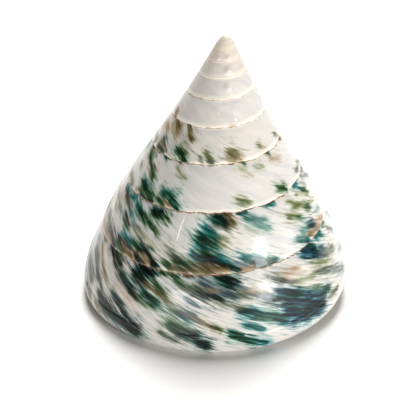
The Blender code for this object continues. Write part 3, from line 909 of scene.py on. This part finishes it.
    def lay_points(self) -> PointTable:
        """Lay out the outer, inner, pillar and lip points, and keep their numbers with the seams welded.

        The foot of each wall takes the top of the next turn's. The pillar runs evenly from the end of the
        base above to the end of the hollow's wall, and the lip lies midway between the two walls.

        Returns:
            The points.
        """
        table = PointTable()
        turn, radius, depth = self.section(raised=True)
        share, height = self.shares(radius, depth)
        self.outer_raw = table.add(self.growth.place(turn, radius, depth), turn, share, radius, height, 0.0)
        even_turn, even_radius, even_depth = self.section(raised=False)
        inner_radius, inner_depth = self.inner_section(even_turn, even_radius, even_depth)
        self.inner_raw = table.add(self.growth.place(even_turn, inner_radius, inner_depth), turn, share,
                                   inner_radius, height, 1.0)
        welded = self.last_column + 1 - self.weld_step
        self.outer = self.outer_raw.copy()
        self.outer[:welded, self.foot_row] = self.outer_raw[self.weld_step:, 0]
        self.inner = self.inner_raw.copy()
        self.inner[self.weld_step:, :self.inner_row + 1] = self.outer[:welded, self.join_row][:, None]
        above = slice(0, welded)
        top = np.stack([turn[above, -1] + 1.0, radius[above, -1], depth[above, -1]], axis=1)
        foot = np.stack([even_turn[self.weld_step:, -1], inner_radius[self.weld_step:, -1],
                         inner_depth[self.weld_step:, -1]], axis=1)
        down = (np.arange(1, self.pillar_rows) / self.pillar_rows)[None, :, None]
        between = (1 - down) * top[:, None, :] + down * foot[:, None, :]
        middle = table.add(self.growth.place(*np.moveaxis(between, -1, 0)), between[..., 0],
                           share[above, -1:], between[..., 1], height[above, -1:], 1.0)
        self.pillar = np.zeros((self.last_column + 1, self.pillar_rows + 1), dtype=int)
        self.pillar[self.weld_step:, 0] = self.outer[:welded, -1]
        self.pillar[self.weld_step:, 1:-1] = middle
        self.pillar[self.weld_step:, -1] = self.inner[self.weld_step:, -1]
        rows = slice(self.inner_row, self.last_row + 1)
        lip_turn = (turn[-1, rows] + even_turn[-1, rows]) / 2
        lip_turn = lip_turn + self.lip_rounding / (2 * math.pi * radius[-1, self.foot_row])
        lip_radius = (radius[-1, rows] + inner_radius[-1, rows]) / 2
        lip_depth = (depth[-1, rows] + inner_depth[-1, rows]) / 2
        self.lip = table.add(self.growth.place(lip_turn, lip_radius, lip_depth), lip_turn, share[-1, rows],
                             lip_radius, height[-1, rows], 0.5)
        return table

    @staticmethod
    def cells(grid: Array) -> Array:
        """Four corners of every cell of a grid, in order round it."""
        return np.stack([grid[:-1, :-1], grid[1:, :-1], grid[1:, 1:], grid[:-1, 1:]], axis=-1).reshape(-1, 4)

    def patch(self, numbers: Array, raw: Array, columns: tuple[int, int], rows: tuple[int, int]) -> Patch:
        """Quads between neighbouring columns and rows of one surface.

        Args:
            numbers: Numbers of the welded points.
            raw: Numbers of the points with the values.
            columns: First and last column.
            rows: First and last row.

        Returns:
            The faces.
        """
        cut = np.s_[columns[0]:columns[1] + 1, rows[0]:rows[1] + 1]
        return Patch(self.cells(numbers[cut]), self.cells(raw[cut]))

    @staticmethod
    def strip(first: Array, second: Array) -> Patch:
        """Quads between two lines of the same number of points."""
        quads = np.stack([first[:-1], first[1:], second[1:], second[:-1]], axis=1)
        return Patch(quads, quads)

    @staticmethod
    def fan(line: Array, middle: int) -> Patch:
        """Triangles from a line of points to one point, which each has as its third and fourth corner."""
        centre = np.full(len(line) - 1, middle)
        faces = np.stack([line[:-1], line[1:], centre, centre], axis=1)
        return Patch(faces, faces)

    def dome(self, table: PointTable, loop: Array, centre: tuple[float, float, float],
             rings: tuple[Span, ...], inside: float) -> list[Patch]:
        """Close a loop with rings that draw in to a point.

        Each ring is the loop scaled towards the centre in x and y by its reach, with its height mixed
        towards the centre's by its rise.

        Args:
            table: The points so far.
            loop: Numbers of the loop's points, in order.
            centre: The point in the middle.
            rings: Reach and rise of each ring.
            inside: 0 on the outside of the shell, 1 in its hollow.

        Returns:
            The patches of the dome.
        """
        places, values = np.concatenate(table.places), np.concatenate(table.values)
        middle = np.array(centre)
        found, before = [], loop
        for reach, rise in rings:
            ring = middle + (places[loop] - middle) * np.array([reach, reach, 1.0 - rise])
            numbers = table.add(ring, *values[loop, :4].T, inside)
            found.append(self.strip(np.append(before, before[0]), np.append(numbers, numbers[0])))
            before = numbers
        mean = values[loop, :4].mean(axis=0)
        last = table.add(middle[None, :], *mean[:, None], inside)[0]
        found.append(self.fan(np.append(before, before[0]), last))
        return found

    def close(self, table: PointTable) -> list[Patch]:
        """Round the lip, and close the tip, the middle of the base and the deep end of the hollow.

        Args:
            table: The points so far.

        Returns:
            The patches that close the shell.
        """
        last, foot, join = self.last_column, self.foot_row, self.join_row
        rows = slice(self.inner_row, self.last_row + 1)
        found = [self.strip(self.outer[last, rows], self.lip), self.strip(self.lip, self.inner[last, rows]),
                 self.fan(self.outer[last, :self.inner_row + 1], self.lip[0]),
                 self.fan(self.outer[self.mouth_weld, foot:join + 1], self.lip[0])]
        tip = np.concatenate([self.outer[:self.weld_step + 1, 0], self.outer[0, foot - 1:0:-1]])
        top = np.concatenate(table.places)[tip, 2].max() + self.tip_rise
        found += self.dome(table, tip, (0.0, 0.0, top), self.tip_rings, 0.0)
        base = np.concatenate([self.outer[self.mouth_weld:last + 1, -1], self.lip[-1:],
                               self.pillar[last, :0:-1]])
        growth = self.growth
        middle = growth.place(np.array(growth.front_turn), np.array(0.0), np.array(self.funnel_depth))
        found += self.dome(table, base, tuple(middle), self.funnel_rings, 0.0)
        first = self.inner_first
        end = np.concatenate([self.outer[first - self.weld_step, join:], self.pillar[first, 1:],
                              self.inner[first, self.last_row - 1:self.inner_row:-1]])
        centre = np.concatenate(table.places)[end].mean(axis=0)
        found += self.dome(table, end, tuple(centre), (), 1.0)
        return found

    def build(self, stains: Stains) -> bpy.types.Object:
        """Make the shell's object, with its mesh and the values that its finish reads.

        Args:
            stains: The streaks to lay on it.

        Returns:
            The new object.
        """
        table = self.lay_points()
        last, foot, join, end = self.last_column, self.foot_row, self.join_row, self.last_row
        patches = [self.patch(self.outer, self.outer_raw, (0, last), (0, foot)),
                   self.patch(self.outer, self.outer_raw, (self.mouth_weld, last), (foot, join)),
                   self.patch(self.outer, self.outer_raw, (self.ceiling_first, last), (join, end)),
                   self.patch(self.inner, self.inner_raw, (self.inner_first, last), (self.inner_row, end)),
                   self.patch(self.pillar, self.pillar, (self.inner_first, last), (0, self.pillar_rows))]
        patches += self.close(table)
        corners = np.concatenate([patch.corners for patch in patches])
        values = np.concatenate([patch.values for patch in patches])
        places = self.stance.set_down(np.concatenate(table.places))
        mesh = self.mesh_of("shell_surface", places, corners)
        self.write_values(mesh, table, stains, corners, values)
        self.face_outwards(mesh)
        mesh.shade_smooth()
        shell = bpy.data.objects.new("shell_dressed", mesh)
        bpy.context.scene.collection.objects.link(shell)
        return shell

    @staticmethod
    def face_corners(corners: Array) -> tuple[Array, Array]:
        """Which corners of the listed quads are kept: a corner equal to the one before it is left out.

        Args:
            corners: Four vertex numbers a face.

        Returns:
            A mask of the kept corners, and the number kept in each face.
        """
        kept = corners != np.roll(corners, 1, axis=1)
        return kept, kept.sum(axis=1)

    def mesh_of(self, name: str, places: Array, corners: Array) -> bpy.types.Mesh:
        """Mesh with these faces and only the points that they use.

        Args:
            name: Name of the mesh.
            places: Positions of the points.
            corners: Four vertex numbers a face.

        Returns:
            The new mesh.
        """
        kept, sizes = self.face_corners(corners)
        used, numbers = np.unique(corners[kept], return_inverse=True)
        mesh = bpy.data.meshes.new(name)
        mesh.vertices.add(len(used))
        mesh.vertices.foreach_set("co", places[used].astype(np.float32).ravel())
        mesh.loops.add(len(numbers))
        mesh.loops.foreach_set("vertex_index", numbers.astype(np.int32))
        mesh.polygons.add(len(sizes))
        starts = np.concatenate([[0], np.cumsum(sizes)[:-1]])
        mesh.polygons.foreach_set("loop_start", starts.astype(np.int32))
        mesh.update(calc_edges=True)
        mesh.validate()
        return mesh

    def write_values(self, mesh: bpy.types.Mesh, table: PointTable, stains: Stains, corners: Array,
                     values: Array) -> None:
        """Give every face corner its place on the whorl and its stain.

        The grain's x is the arc length along the spiral of the line of growth through the point, and its y
        the length across the whorl. The spot is the turn, the share and how far inside the point is. The
        seam holds the distances to the suture above and to the one below, and how far a whorl is past the
        plain first ones. The hollow, the rim and the base have no suture, so theirs are set far off, and so
        is the lower one of the last whorl, which nothing covers.

        Args:
            mesh: The mesh to write on.
            table: The points with their values.
            stains: The streaks.
            corners: Four vertex numbers a face.
            values: Four numbers of points with the corners' values.
        """
        kept, _ = self.face_corners(corners)
        listed = np.concatenate(table.values)
        turn, share, _, height, inside = listed[values[kept]].T
        growth = self.growth
        turns = np.linspace(0.0, self.mouth_turn + 1.0, self.arc_stations)
        around = 2 * math.pi * growth.cone_radius(growth.suture_depth(turns + 0.5))
        arc = np.concatenate([[0.0], np.cumsum(np.diff(turns) * (around[1:] + around[:-1]) / 2)])
        grain = np.interp(turn + self.grain_lean * np.minimum(share, self.grain_lean_to), turns, arc)
        level = np.zeros_like(turn)
        self.write(mesh, "grain", "FLOAT_VECTOR", np.stack([grain, share * height, level], axis=1))
        self.write(mesh, "spot", "FLOAT_VECTOR", np.stack([turn, share, inside], axis=1))
        far = (share > 1.0) | (inside > self.hollow_from)
        upper = np.where(far, self.no_seam, share * height)
        bare = turn > self.mouth_turn - 1.0 + self.exposed_margin
        lower = np.where(far | bare, self.no_seam, (1.0 - share) * height)
        nearer_lower = share > 0.5
        aged = smoothstep(*self.plain_until, turn + nearer_lower)
        self.write(mesh, "seam", "FLOAT_VECTOR", np.stack([upper, lower, aged], axis=1))
        depth, colour = np.zeros(len(listed)), np.zeros((len(listed), 4))
        outside = self.outer_raw.ravel()
        stain_depth, stain = stains.spread(*np.moveaxis(listed[self.outer_raw][..., :4], -1, 0))
        depth[outside] = stain_depth.ravel()
        colour[outside] = stain.reshape(-1, 4)
        self.write(mesh, "stain_depth", "FLOAT", depth[values[kept]])
        self.write(mesh, "stain", "FLOAT_COLOR", colour[values[kept]])

    @staticmethod
    def write(mesh: bpy.types.Mesh, name: str, kind: str, numbers: Array) -> None:
        """Store numbers on the face corners.

        Args:
            mesh: The mesh to write on.
            name: The name that the finish reads them under.
            kind: Blender's word for the kind of number.
            numbers: One row a corner.
        """
        layer = mesh.attributes.new(name, kind, "CORNER")
        field_name = {"FLOAT": "value", "FLOAT_VECTOR": "vector", "FLOAT_COLOR": "color"}[kind]
        layer.data.foreach_set(field_name, numbers.astype(np.float32).ravel())

    @staticmethod
    def face_outwards(mesh: bpy.types.Mesh) -> None:
        """Turn every face outwards; the shell is closed.

        Args:
            mesh: The mesh to turn.
        """
        work = bmesh.new()
        work.from_mesh(mesh)
        bmesh.ops.recalc_face_normals(work, faces=work.faces)
        work.to_mesh(mesh)
        work.free()


@dataclass(frozen=True)
class Weave:
    """A noise on the whorls: how fast it runs along the spiral and across it, its detail and roughness."""

    along: float
    across: float
    detail: float = 3.0
    roughness: float = 0.5


class Recipe:
    """Short calls for building a material from nodes."""

    def __init__(self, name: str) -> None:
        """Start a material with a Principled shader.

        Args:
            name: Name of the material.
        """
        self.material = bpy.data.materials.new(name)
        self.material.use_nodes = True
        self.tree = self.material.node_tree
        self.surface = self.tree.nodes["Principled BSDF"]

    def feed(self, place: Socket, value: Value) -> None:
        """Link a socket to an input, or set a constant on it.

        Args:
            place: The input.
            value: What it is fed.
        """
        if isinstance(value, Socket):
            self.tree.links.new(value, place)
        else:
            place.default_value = value

    def dress(self, name: str, value: Value) -> None:
        """Feed one input of the shader."""
        self.feed(self.surface.inputs[name], value)

    def node(self, kind: str, inputs: dict[str | int, Value], **settings: str | bool) -> bpy.types.Node:
        """Add a node, set it up and feed it.

        Args:
            kind: The node's type.
            inputs: Sockets or constants, under the name or number of the input that each one feeds.
            settings: The node's settings.

        Returns:
            The new node.
        """
        made = self.tree.nodes.new(kind)
        for name, setting in settings.items():
            setattr(made, name, setting)
        for name, value in inputs.items():
            self.feed(made.inputs[name], value)
        return made

    def math(self, operation: str, *values: Value) -> Socket:
        """One arithmetic step on one to three values."""
        return self.node("ShaderNodeMath", dict(enumerate(values)), operation=operation).outputs[0]

    def times(self, first: Value, *others: Value) -> Socket:
        """Product of two or more values, taken in order.

        Args:
            first: The first value.
            others: The values that it is multiplied by.

        Returns:
            The product.
        """
        for other in others:
            first = self.math("MULTIPLY", first, other)
        return first

    def sway(self, base: Socket, noise: Socket, amount: Value) -> Socket:
        """A base value plus a noise, less its mean of one half, times an amount."""
        return self.math("MULTIPLY_ADD", self.math("SUBTRACT", noise, 0.5), amount, base)

    def step(self, ends: Span, value: Socket) -> Socket:
        """Smooth rise from 0 at the first end to 1 at the second."""
        inputs = {"Value": value, "From Min": ends[0], "From Max": ends[1]}
        return self.node("ShaderNodeMapRange", inputs, interpolation_type="SMOOTHSTEP").outputs["Result"]

    def spread(self, ends: Span, value: Socket) -> Socket:
        """A value from 0 to 1 carried to the range from the first end to the second."""
        inputs = {"Value": value, "To Min": ends[0], "To Max": ends[1]}
        return self.node("ShaderNodeMapRange", inputs, clamp=False).outputs["Result"]

    def attribute(self, name: str) -> bpy.types.Node:
        """Values that the mesh carries under a name."""
        return self.node("ShaderNodeAttribute", {}, attribute_name=name)

    def parts(self, vector: Socket) -> tuple[Socket, Socket, Socket]:
        """The x, y and z of a vector."""
        made = self.node("ShaderNodeSeparateXYZ", {"Vector": vector})
        return made.outputs["X"], made.outputs["Y"], made.outputs["Z"]

    def noise(self, vector: Socket, scale: float = 1.0, detail: float = 2.0,
              roughness: float = 0.5) -> Socket:
        """Soft noise around one half."""
        inputs = {"Vector": vector, "Scale": scale, "Detail": detail, "Roughness": roughness}
        return self.node("ShaderNodeTexNoise", inputs).outputs[0]

    def woven(self, grain: Socket, weave: Weave) -> Socket:
        """Soft noise drawn out along the lines of growth: noise of the grain, scaled along and across.

        Args:
            grain: Place on the unrolled whorls.
            weave: The noise's speeds, detail and roughness.

        Returns:
            The noise, around one half.
        """
        inputs = {"Vector": grain, "Scale": (weave.along, weave.across, 1.0)}
        stretched = self.node("ShaderNodeMapping", inputs).outputs["Vector"]
        return self.noise(stretched, detail=weave.detail, roughness=weave.roughness)

    def mix(self, factor: Value, first: Value, second: Value, blend: str = "MIX") -> Socket:
        """Colour between two colours.

        Args:
            factor: Share of the second colour.
            first: The first colour.
            second: The second colour.
            blend: How the second is laid on the first.

        Returns:
            The colour.
        """
        inputs = {0: factor, 6: first, 7: second}
        return self.node("ShaderNodeMix", inputs, data_type="RGBA", blend_type=blend).outputs[2]


@dataclass(frozen=True)
class Reading:
    """What the finish reads at a point of the shell.

    Grain is the place on the unrolled whorls, and place the one on the object. Upper and lower are the
    distances to the suture above and to the one below, and aged is 0 on the plain first whorls and 1 on the
    others. Turn and share are the point's own, and inside is 0 on the outside and 1 in the hollow. Fine,
    stroke and broad are noises of the grain that several layers share.
    """

    grain: Socket
    place: Socket
    upper: Socket
    lower: Socket
    aged: Socket
    turn: Socket
    share: Socket
    inside: Socket
    fine: Socket
    stroke: Socket
    broad: Socket


@dataclass(frozen=True)
class PearlFinish:
    """Polished nacre with its stains, cream bands, suture lines, specks and one scratch.

    A pair of numbers is the two ends of a smooth step, or, where its name ends in amount or width, the
    range that a value from 0 to 1 is carried to. Turns are counted along the spiral.
    """

    pearl: tuple[float, ...] = srgb(221, 217, 211)
    cream: tuple[float, ...] = srgb(246, 238, 225)
    cool: tuple[float, ...] = srgb(208, 207, 204)
    blush: tuple[float, ...] = srgb(222, 212, 202)
    line: tuple[float, ...] = srgb(118, 84, 56)
    beige: tuple[float, ...] = srgb(222, 208, 190)
    speck: tuple[float, ...] = srgb(128, 96, 66)
    scratch: tuple[float, ...] = srgb(252, 250, 244)
    haze: tuple[float, ...] = srgb(120, 128, 112)
    grain_shade: tuple[float, ...] = (0.5, 0.47, 0.42, 1.0)
    roughness_amount: Span = (0.22, 0.38)
    specular: float = 0.2
    coat: float = 0.16
    coat_roughness: float = 0.12
    lump_scale: float = 420.0
    lump_height: float = 6.0
    bump_strength: float = 0.6
    bump_distance: float = 0.042 * MM

    fine: Weave = Weave(2600.0, 1000.0)
    stroke: Weave = Weave(950.0, 400.0, roughness=0.55)
    broad: Weave = Weave(420.0, 190.0)
    mottle: Weave = Weave(1150.0, 850.0, detail=4.0, roughness=0.58)
    patchy: Weave = Weave(800.0, 450.0)
    broken: Weave = Weave(700.0, 0.0, detail=4.0, roughness=0.65)

    cool_clouds: Span = (0.35, 0.65)
    blush_scale: float = 90.0
    blush_clouds: Span = (0.4, 0.7)
    blush_amount: Span = (0.0, 0.6)
    cream_over_seam: Span = (0.95 * MM, 0.4 * MM)
    cream_under_seam: Span = (0.5 * MM, 0.15 * MM)
    cream_under_share: float = 0.7
    cream_turns: Span = (7.6, 8.3)
    cream_amount: Span = (0.85, 0.45)
    beige_heights: Span = (42.0 * MM, 52.0 * MM)
    beige_amount: Span = (0.0, 0.7)
    grain_amount: Span = (0.0, 0.12)

    haze_turns: Span = (8.2, 9.0)
    haze_inside: Span = (0.5, 0.2)
    haze_strokes: Span = (0.5, 0.68)
    haze_clouds: Span = (0.42, 0.6)
    haze_share: float = 0.5
    tear_turns: Span = (7.6, 8.6)
    tear_amount: Span = (0.4, 0.9)
    mottle_share: float = 1.6
    fray_share: float = 0.15
    thin_pigment: tuple[Span, float] = ((0.06, 0.5), 0.26)
    body_pigment: tuple[Span, float] = ((0.3, 0.78), 0.54)
    heart_pigment: tuple[Span, float] = ((0.55, 1.1), 0.55)
    patches: Span = (0.3, 0.66)
    patch_amount: Span = (0.5, 1.25)
    stain_edge: Span = (0.02, 0.16)

    line_drop: float = 0.05 * MM
    line_turns: Span = (7.0, 8.2)
    line_swells: Span = (0.4, 0.62)
    line_width: Span = (0.09 * MM, 0.3 * MM)
    # Widening of the line on the last whorls: the real brown line plus painted shade of the suture groove.
    late_line_and_groove_shade_width: Span = (1.0, 1.5)
    line_gaps: Span = (0.38, 0.58)
    gap_amount: Span = (0.35, 1.0)
    line_edge: Span = (0.0, 0.7)
    aged_line_amount: Span = (0.12, 1.0)
    late_line_amount: Span = (0.6, 1.0)

    speck_scale: float = 1500.0
    speck_edge: Span = (0.76, 0.8)
    speck_share: float = 0.5
    scratch_turn: float = 9.0565
    scratch_middle: float = 0.45
    scratch_bend: float = 0.03
    scratch_edge: Span = (0.0016, 0.0006)
    scratch_start: Span = (0.02, 0.08)
    scratch_end: Span = (0.5, 0.42)
    crumb_scale: float = 2500.0
    crumbs: Span = (0.35, 0.55)
    crumb_amount: Span = (0.4, 1.0)

    def material(self) -> bpy.types.Material:
        """Build the material: ground, stains, seams and marks one over the other, under a thin clear coat.

        Returns:
            The material.
        """
        recipe = Recipe("polished_shell")
        at = self.reading(recipe)
        colour = self.stained(recipe, self.ground(recipe, at), at)
        colour = self.marks(recipe, self.seams(recipe, colour, at), at)
        recipe.dress("Base Color", colour)
        recipe.dress("Roughness", recipe.spread(self.roughness_amount, at.stroke))
        recipe.dress("Specular IOR Level", self.specular)
        recipe.dress("Coat Weight", self.coat)
        recipe.dress("Coat Roughness", self.coat_roughness)
        lumps = recipe.noise(at.place, scale=self.lump_scale)
        relief = {"Strength": self.bump_strength, "Distance": self.bump_distance,
                  "Height": recipe.math("MULTIPLY_ADD", lumps, self.lump_height, at.stroke)}
        recipe.dress("Normal", recipe.node("ShaderNodeBump", relief).outputs["Normal"])
        return recipe.material

    def reading(self, recipe: Recipe) -> Reading:
        """Fetch what the layers read: the mesh's own values, the place and the shared noises.

        Args:
            recipe: The material's nodes.

        Returns:
            The sockets.
        """
        grain = recipe.attribute("grain").outputs["Vector"]
        place = recipe.node("ShaderNodeTexCoord", {}).outputs["Object"]
        upper, lower, aged = recipe.parts(recipe.attribute("seam").outputs["Vector"])
        turn, share, inside = recipe.parts(recipe.attribute("spot").outputs["Vector"])
        noises = [recipe.woven(grain, weave) for weave in (self.fine, self.stroke, self.broad)]
        return Reading(grain, place, upper, lower, aged, turn, share, inside, *noises)

    def ground(self, recipe: Recipe, at: Reading) -> Socket:
        """Pearl with cool and blushing clouds and faint growth lines, and cream near the tip and the sutures.

        Args:
            recipe: The material's nodes.
            at: What is read at the point.

        Returns:
            The colour under the stains.
        """
        cloud = recipe.noise(at.place, scale=self.blush_scale)
        colour = recipe.mix(recipe.step(self.cool_clouds, at.broad), self.pearl, self.cool)
        blushed = recipe.spread(self.blush_amount, recipe.step(self.blush_clouds, cloud))
        colour = recipe.mix(blushed, colour, self.blush)
        over = recipe.step(self.cream_over_seam, at.lower)
        under = recipe.times(recipe.step(self.cream_under_seam, at.upper), self.cream_under_share)
        late = recipe.step(self.cream_turns, at.turn)
        band = recipe.times(recipe.math("MAXIMUM", over, under), recipe.spread(self.cream_amount, late))
        colour = recipe.mix(band, colour, self.cream)
        height = recipe.parts(at.place)[2]
        tip = recipe.spread(self.beige_amount, recipe.step(self.beige_heights, height))
        colour = recipe.mix(tip, colour, self.beige)
        return recipe.mix(recipe.spread(self.grain_amount, at.fine), colour, self.grain_shade, "MULTIPLY")

    def stained(self, recipe: Recipe, ground: Socket, at: Reading) -> Socket:
        """Stains as pigment over the ground, after a faint haze of streaks on the last whorls.

        The stain's depth is torn along the lines of growth by the noises. Three smooth steps of it, for the
        thin edge, the body and the dark heart, add up to the pigment's thickness, which patches vary. The
        ground is multiplied by the stain's colour to the power of the thickness.

        Args:
            recipe: The material's nodes.
            ground: The colour under the stains.
            at: What is read at the point.

        Returns:
            The colour with the stains.
        """
        haze = recipe.times(recipe.step(self.haze_strokes, at.stroke),
                            recipe.step(self.haze_clouds, at.broad))
        late = recipe.times(recipe.step(self.haze_turns, at.turn), recipe.step(self.haze_inside, at.inside))
        colour = recipe.mix(recipe.times(haze, late, self.haze_share), ground, self.haze)
        depth = recipe.attribute("stain_depth").outputs["Fac"]
        stain = recipe.attribute("stain")
        tearing = recipe.spread(self.tear_amount, recipe.step(self.tear_turns, at.turn))
        torn = recipe.sway(depth, at.stroke, tearing)
        torn = recipe.sway(torn, recipe.woven(at.grain, self.mottle), self.mottle_share)
        torn = recipe.sway(torn, at.fine, self.fray_share)
        thin, body, heart = [recipe.times(recipe.step(ends, torn), most)
                             for ends, most in (self.thin_pigment, self.body_pigment, self.heart_pigment)]
        thick = recipe.math("ADD", recipe.math("ADD", thin, body), heart)
        patches = recipe.step(self.patches, recipe.woven(at.grain, self.patchy))
        thick = recipe.times(thick, recipe.spread(self.patch_amount, patches), stain.outputs["Alpha"],
                             recipe.step(self.stain_edge, depth))
        pigment = recipe.node("ShaderNodeGamma", {"Color": stain.outputs["Color"], "Gamma": thick})
        return recipe.mix(1.0, colour, pigment.outputs[0], "MULTIPLY")

    def seams(self, recipe: Recipe, colour: Socket, at: Reading) -> Socket:
        """Thin brown lines along the sutures, broken here and there, and hardly seen on the first whorls.

        A line's strength falls evenly from 1 on the suture to 0 at the line's width, which a noise varies.
        On the last whorls the width grows by half, so there the brown line also paints the shade of the
        groove under the suture.

        Args:
            recipe: The material's nodes.
            colour: The colour so far.
            at: What is read at the point.

        Returns:
            The colour with the lines.
        """
        off = recipe.math("MINIMUM", at.upper, recipe.math("ADD", at.lower, self.line_drop))
        broken = recipe.woven(at.grain, self.broken)
        late = recipe.step(self.line_turns, at.turn)
        # On the last whorls the line is widened, so that it also paints the shade in the suture groove.
        width = recipe.times(recipe.spread(self.line_width, recipe.step(self.line_swells, broken)),
                             recipe.spread(self.late_line_and_groove_shade_width, late))
        line = recipe.math("SUBTRACT", 1.0, recipe.math("DIVIDE", off, width))
        mask = recipe.times(recipe.step(self.line_edge, line),
                            recipe.spread(self.gap_amount, recipe.step(self.line_gaps, broken)),
                            recipe.spread(self.aged_line_amount, at.aged),
                            recipe.spread(self.late_line_amount, late))
        return recipe.mix(mask, colour, self.line)

    def marks(self, recipe: Recipe, colour: Socket, at: Reading) -> Socket:
        """Small brown specks, and the white scratch on the front of the second whorl up.

        The scratch runs down its turn, bent by the square of the share's distance from its middle.

        Args:
            recipe: The material's nodes.
            colour: The colour so far.
            at: What is read at the point.

        Returns:
            The colour with the marks.
        """
        dots = recipe.noise(at.place, scale=self.speck_scale, detail=1.0)
        specks = recipe.times(recipe.step(self.speck_edge, dots), self.speck_share)
        colour = recipe.mix(specks, colour, self.speck)
        ahead = recipe.math("SUBTRACT", self.scratch_middle, at.share)
        bent = recipe.math("ADD", at.turn, recipe.times(ahead, ahead, self.scratch_bend))
        off = recipe.math("ABSOLUTE", recipe.math("SUBTRACT", bent, self.scratch_turn))
        crumb = recipe.step(self.crumbs, recipe.noise(at.place, scale=self.crumb_scale))
        mask = recipe.times(recipe.step(self.scratch_edge, off), recipe.step(self.scratch_start, at.share),
                            recipe.step(self.scratch_end, at.share), recipe.spread(self.crumb_amount, crumb))
        return recipe.mix(mask, colour, self.scratch)


@dataclass(frozen=True)
class Lamp:
    """A soft light turned to the shell; its bearing is right of the camera, and both angles are degrees."""

    name: str
    bearing: float
    elevation: float
    distance: float
    size: Span
    watts: float


@dataclass(frozen=True)
class Studio:
    """White floor and sky, soft lights and the camera."""

    tilt: float = math.radians(30.5159)
    roll: float = math.radians(2.4061)
    distance: float = 182.6226 * MM
    aside: Span = (3.2772 * MM, 32.1665 * MM)
    focal_px: float = 1022.3194
    frame_px: float = 416.0
    sensor: float = 36.0
    clip: Span = (0.01, 20.0)
    floor_size: float = 6.0
    floor_drop: float = 0.02 * MM
    floor_colour: tuple[float, ...] = srgb(249, 247, 244)
    floor_roughness: float = 0.9
    floor_specular: float = 0.1
    sky_colour: tuple[float, ...] = (1.0, 0.995, 0.985, 1.0)
    sky_strength: float = 0.04
    aim: tuple[float, float, float] = (0.0, 0.0, 25.0 * MM)
    lamps: tuple[Lamp, ...] = (
        Lamp("window", 44.0, 8.0, 0.6, (0.13, 0.14), 2.2),
        Lamp("left_fill", -22.0, 3.0, 0.8, (0.5, 0.06), 2.0),
        Lamp("right_fill", 72.0, 3.0, 0.8, (0.3, 0.06), 1.1),
        Lamp("overhead", 176.0, 58.0, 0.8, (0.36, 0.36), 10.4))

    def build(self, stance: Stance) -> None:
        """Make the floor, the sky, the lights and the camera.

        Args:
            stance: How the shell leans, which the camera was measured against.
        """
        self.floor()
        self.sky()
        for lamp in self.lamps:
            self.light(lamp)
        self.camera(stance)
        LOG.info("studio: floor, sky, %d lights and the camera", len(self.lamps))

    def floor(self) -> None:
        """A wide matt floor."""
        half = self.floor_size / 2
        corners = [(-half, -half, 0), (half, -half, 0), (half, half, 0), (-half, half, 0)]
        mesh = bpy.data.meshes.new("floor")
        mesh.from_pydata(corners, [], [(0, 1, 2, 3)])
        recipe = Recipe("studio_floor")
        recipe.dress("Base Color", self.floor_colour)
        recipe.dress("Roughness", self.floor_roughness)
        recipe.dress("Specular IOR Level", self.floor_specular)
        mesh.materials.append(recipe.material)
        floor = bpy.data.objects.new("floor", mesh)
        floor.location.z = -self.floor_drop
        bpy.context.scene.collection.objects.link(floor)

    def sky(self) -> None:
        """An even white sky."""
        world = bpy.data.worlds.new("studio")
        world.use_nodes = True
        background = world.node_tree.nodes["Background"]
        background.inputs["Color"].default_value = self.sky_colour
        background.inputs["Strength"].default_value = self.sky_strength
        bpy.context.scene.world = world

    def light(self, lamp: Lamp) -> None:
        """Hang one light at its bearing, elevation and distance from the aim, and turn it to the aim.

        Args:
            lamp: The light's sizes.
        """
        data = bpy.data.lights.new(lamp.name, "AREA")
        data.shape = "RECTANGLE"
        data.size, data.size_y = lamp.size
        data.energy = lamp.watts
        turned, raised = math.radians(lamp.bearing), math.radians(lamp.elevation)
        level = math.cos(raised)
        towards = Vector((math.sin(turned) * level, -math.cos(turned) * level, math.sin(raised)))
        light = bpy.data.objects.new(lamp.name, data)
        light.location = Vector(self.aim) + towards * lamp.distance
        light.rotation_euler = (-towards).to_track_quat("-Z", "Y").to_euler()
        bpy.context.scene.collection.objects.link(light)

    def camera(self, stance: Stance) -> None:
        """Place the camera by the shell's own axis.

        The axis is seen tilted and then rolled. The camera's place is the tip of the axis less the distance
        and the place of the tip in view, turned back by the view.

        Args:
            stance: How the shell leans.
        """
        roll = np.array([[math.cos(self.roll), math.sin(self.roll), 0.0],
                         [-math.sin(self.roll), math.cos(self.roll), 0.0], [0.0, 0.0, 1.0]])
        sine, cosine = math.sin(self.tilt), math.cos(self.tilt)
        view = roll @ np.array([[1.0, 0.0, 0.0], [0.0, sine, cosine], [0.0, -cosine, sine]])
        place = -view.T @ np.array([*self.aside, -self.distance])
        matrix = Matrix(np.vstack([np.column_stack([view.T, place]), [0.0, 0.0, 0.0, 1.0]]).tolist())
        data = bpy.data.cameras.new("photo_view")
        data.sensor_width = self.sensor
        data.lens = self.focal_px / self.frame_px * self.sensor
        data.clip_start, data.clip_end = self.clip
        camera = bpy.data.objects.new("photo_view", data)
        camera.matrix_world = stance.matrix() @ matrix
        bpy.context.scene.collection.objects.link(camera)
        bpy.context.scene.camera = camera


def main() -> None:
    """Build the shell, dress it and set up the studio."""
    logging.basicConfig(level=logging.INFO, format="%(name)s: %(message)s")
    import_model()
    bpy.context.scene.view_settings.view_transform = "Standard"
    shell = TopShell()
    found = FRONT_STREAKS + HiddenMarkings().streaks()
    dressed = shell.build(Stains(shell.growth, found))
    dressed.data.materials.append(PearlFinish().material())
    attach(dressed, "root")
    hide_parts("shell")
    LOG.info("shell: %d faces, %d streaks", len(dressed.data.polygons), len(found))
    Studio().build(shell.stance)


if __name__ == "__main__":
    main()
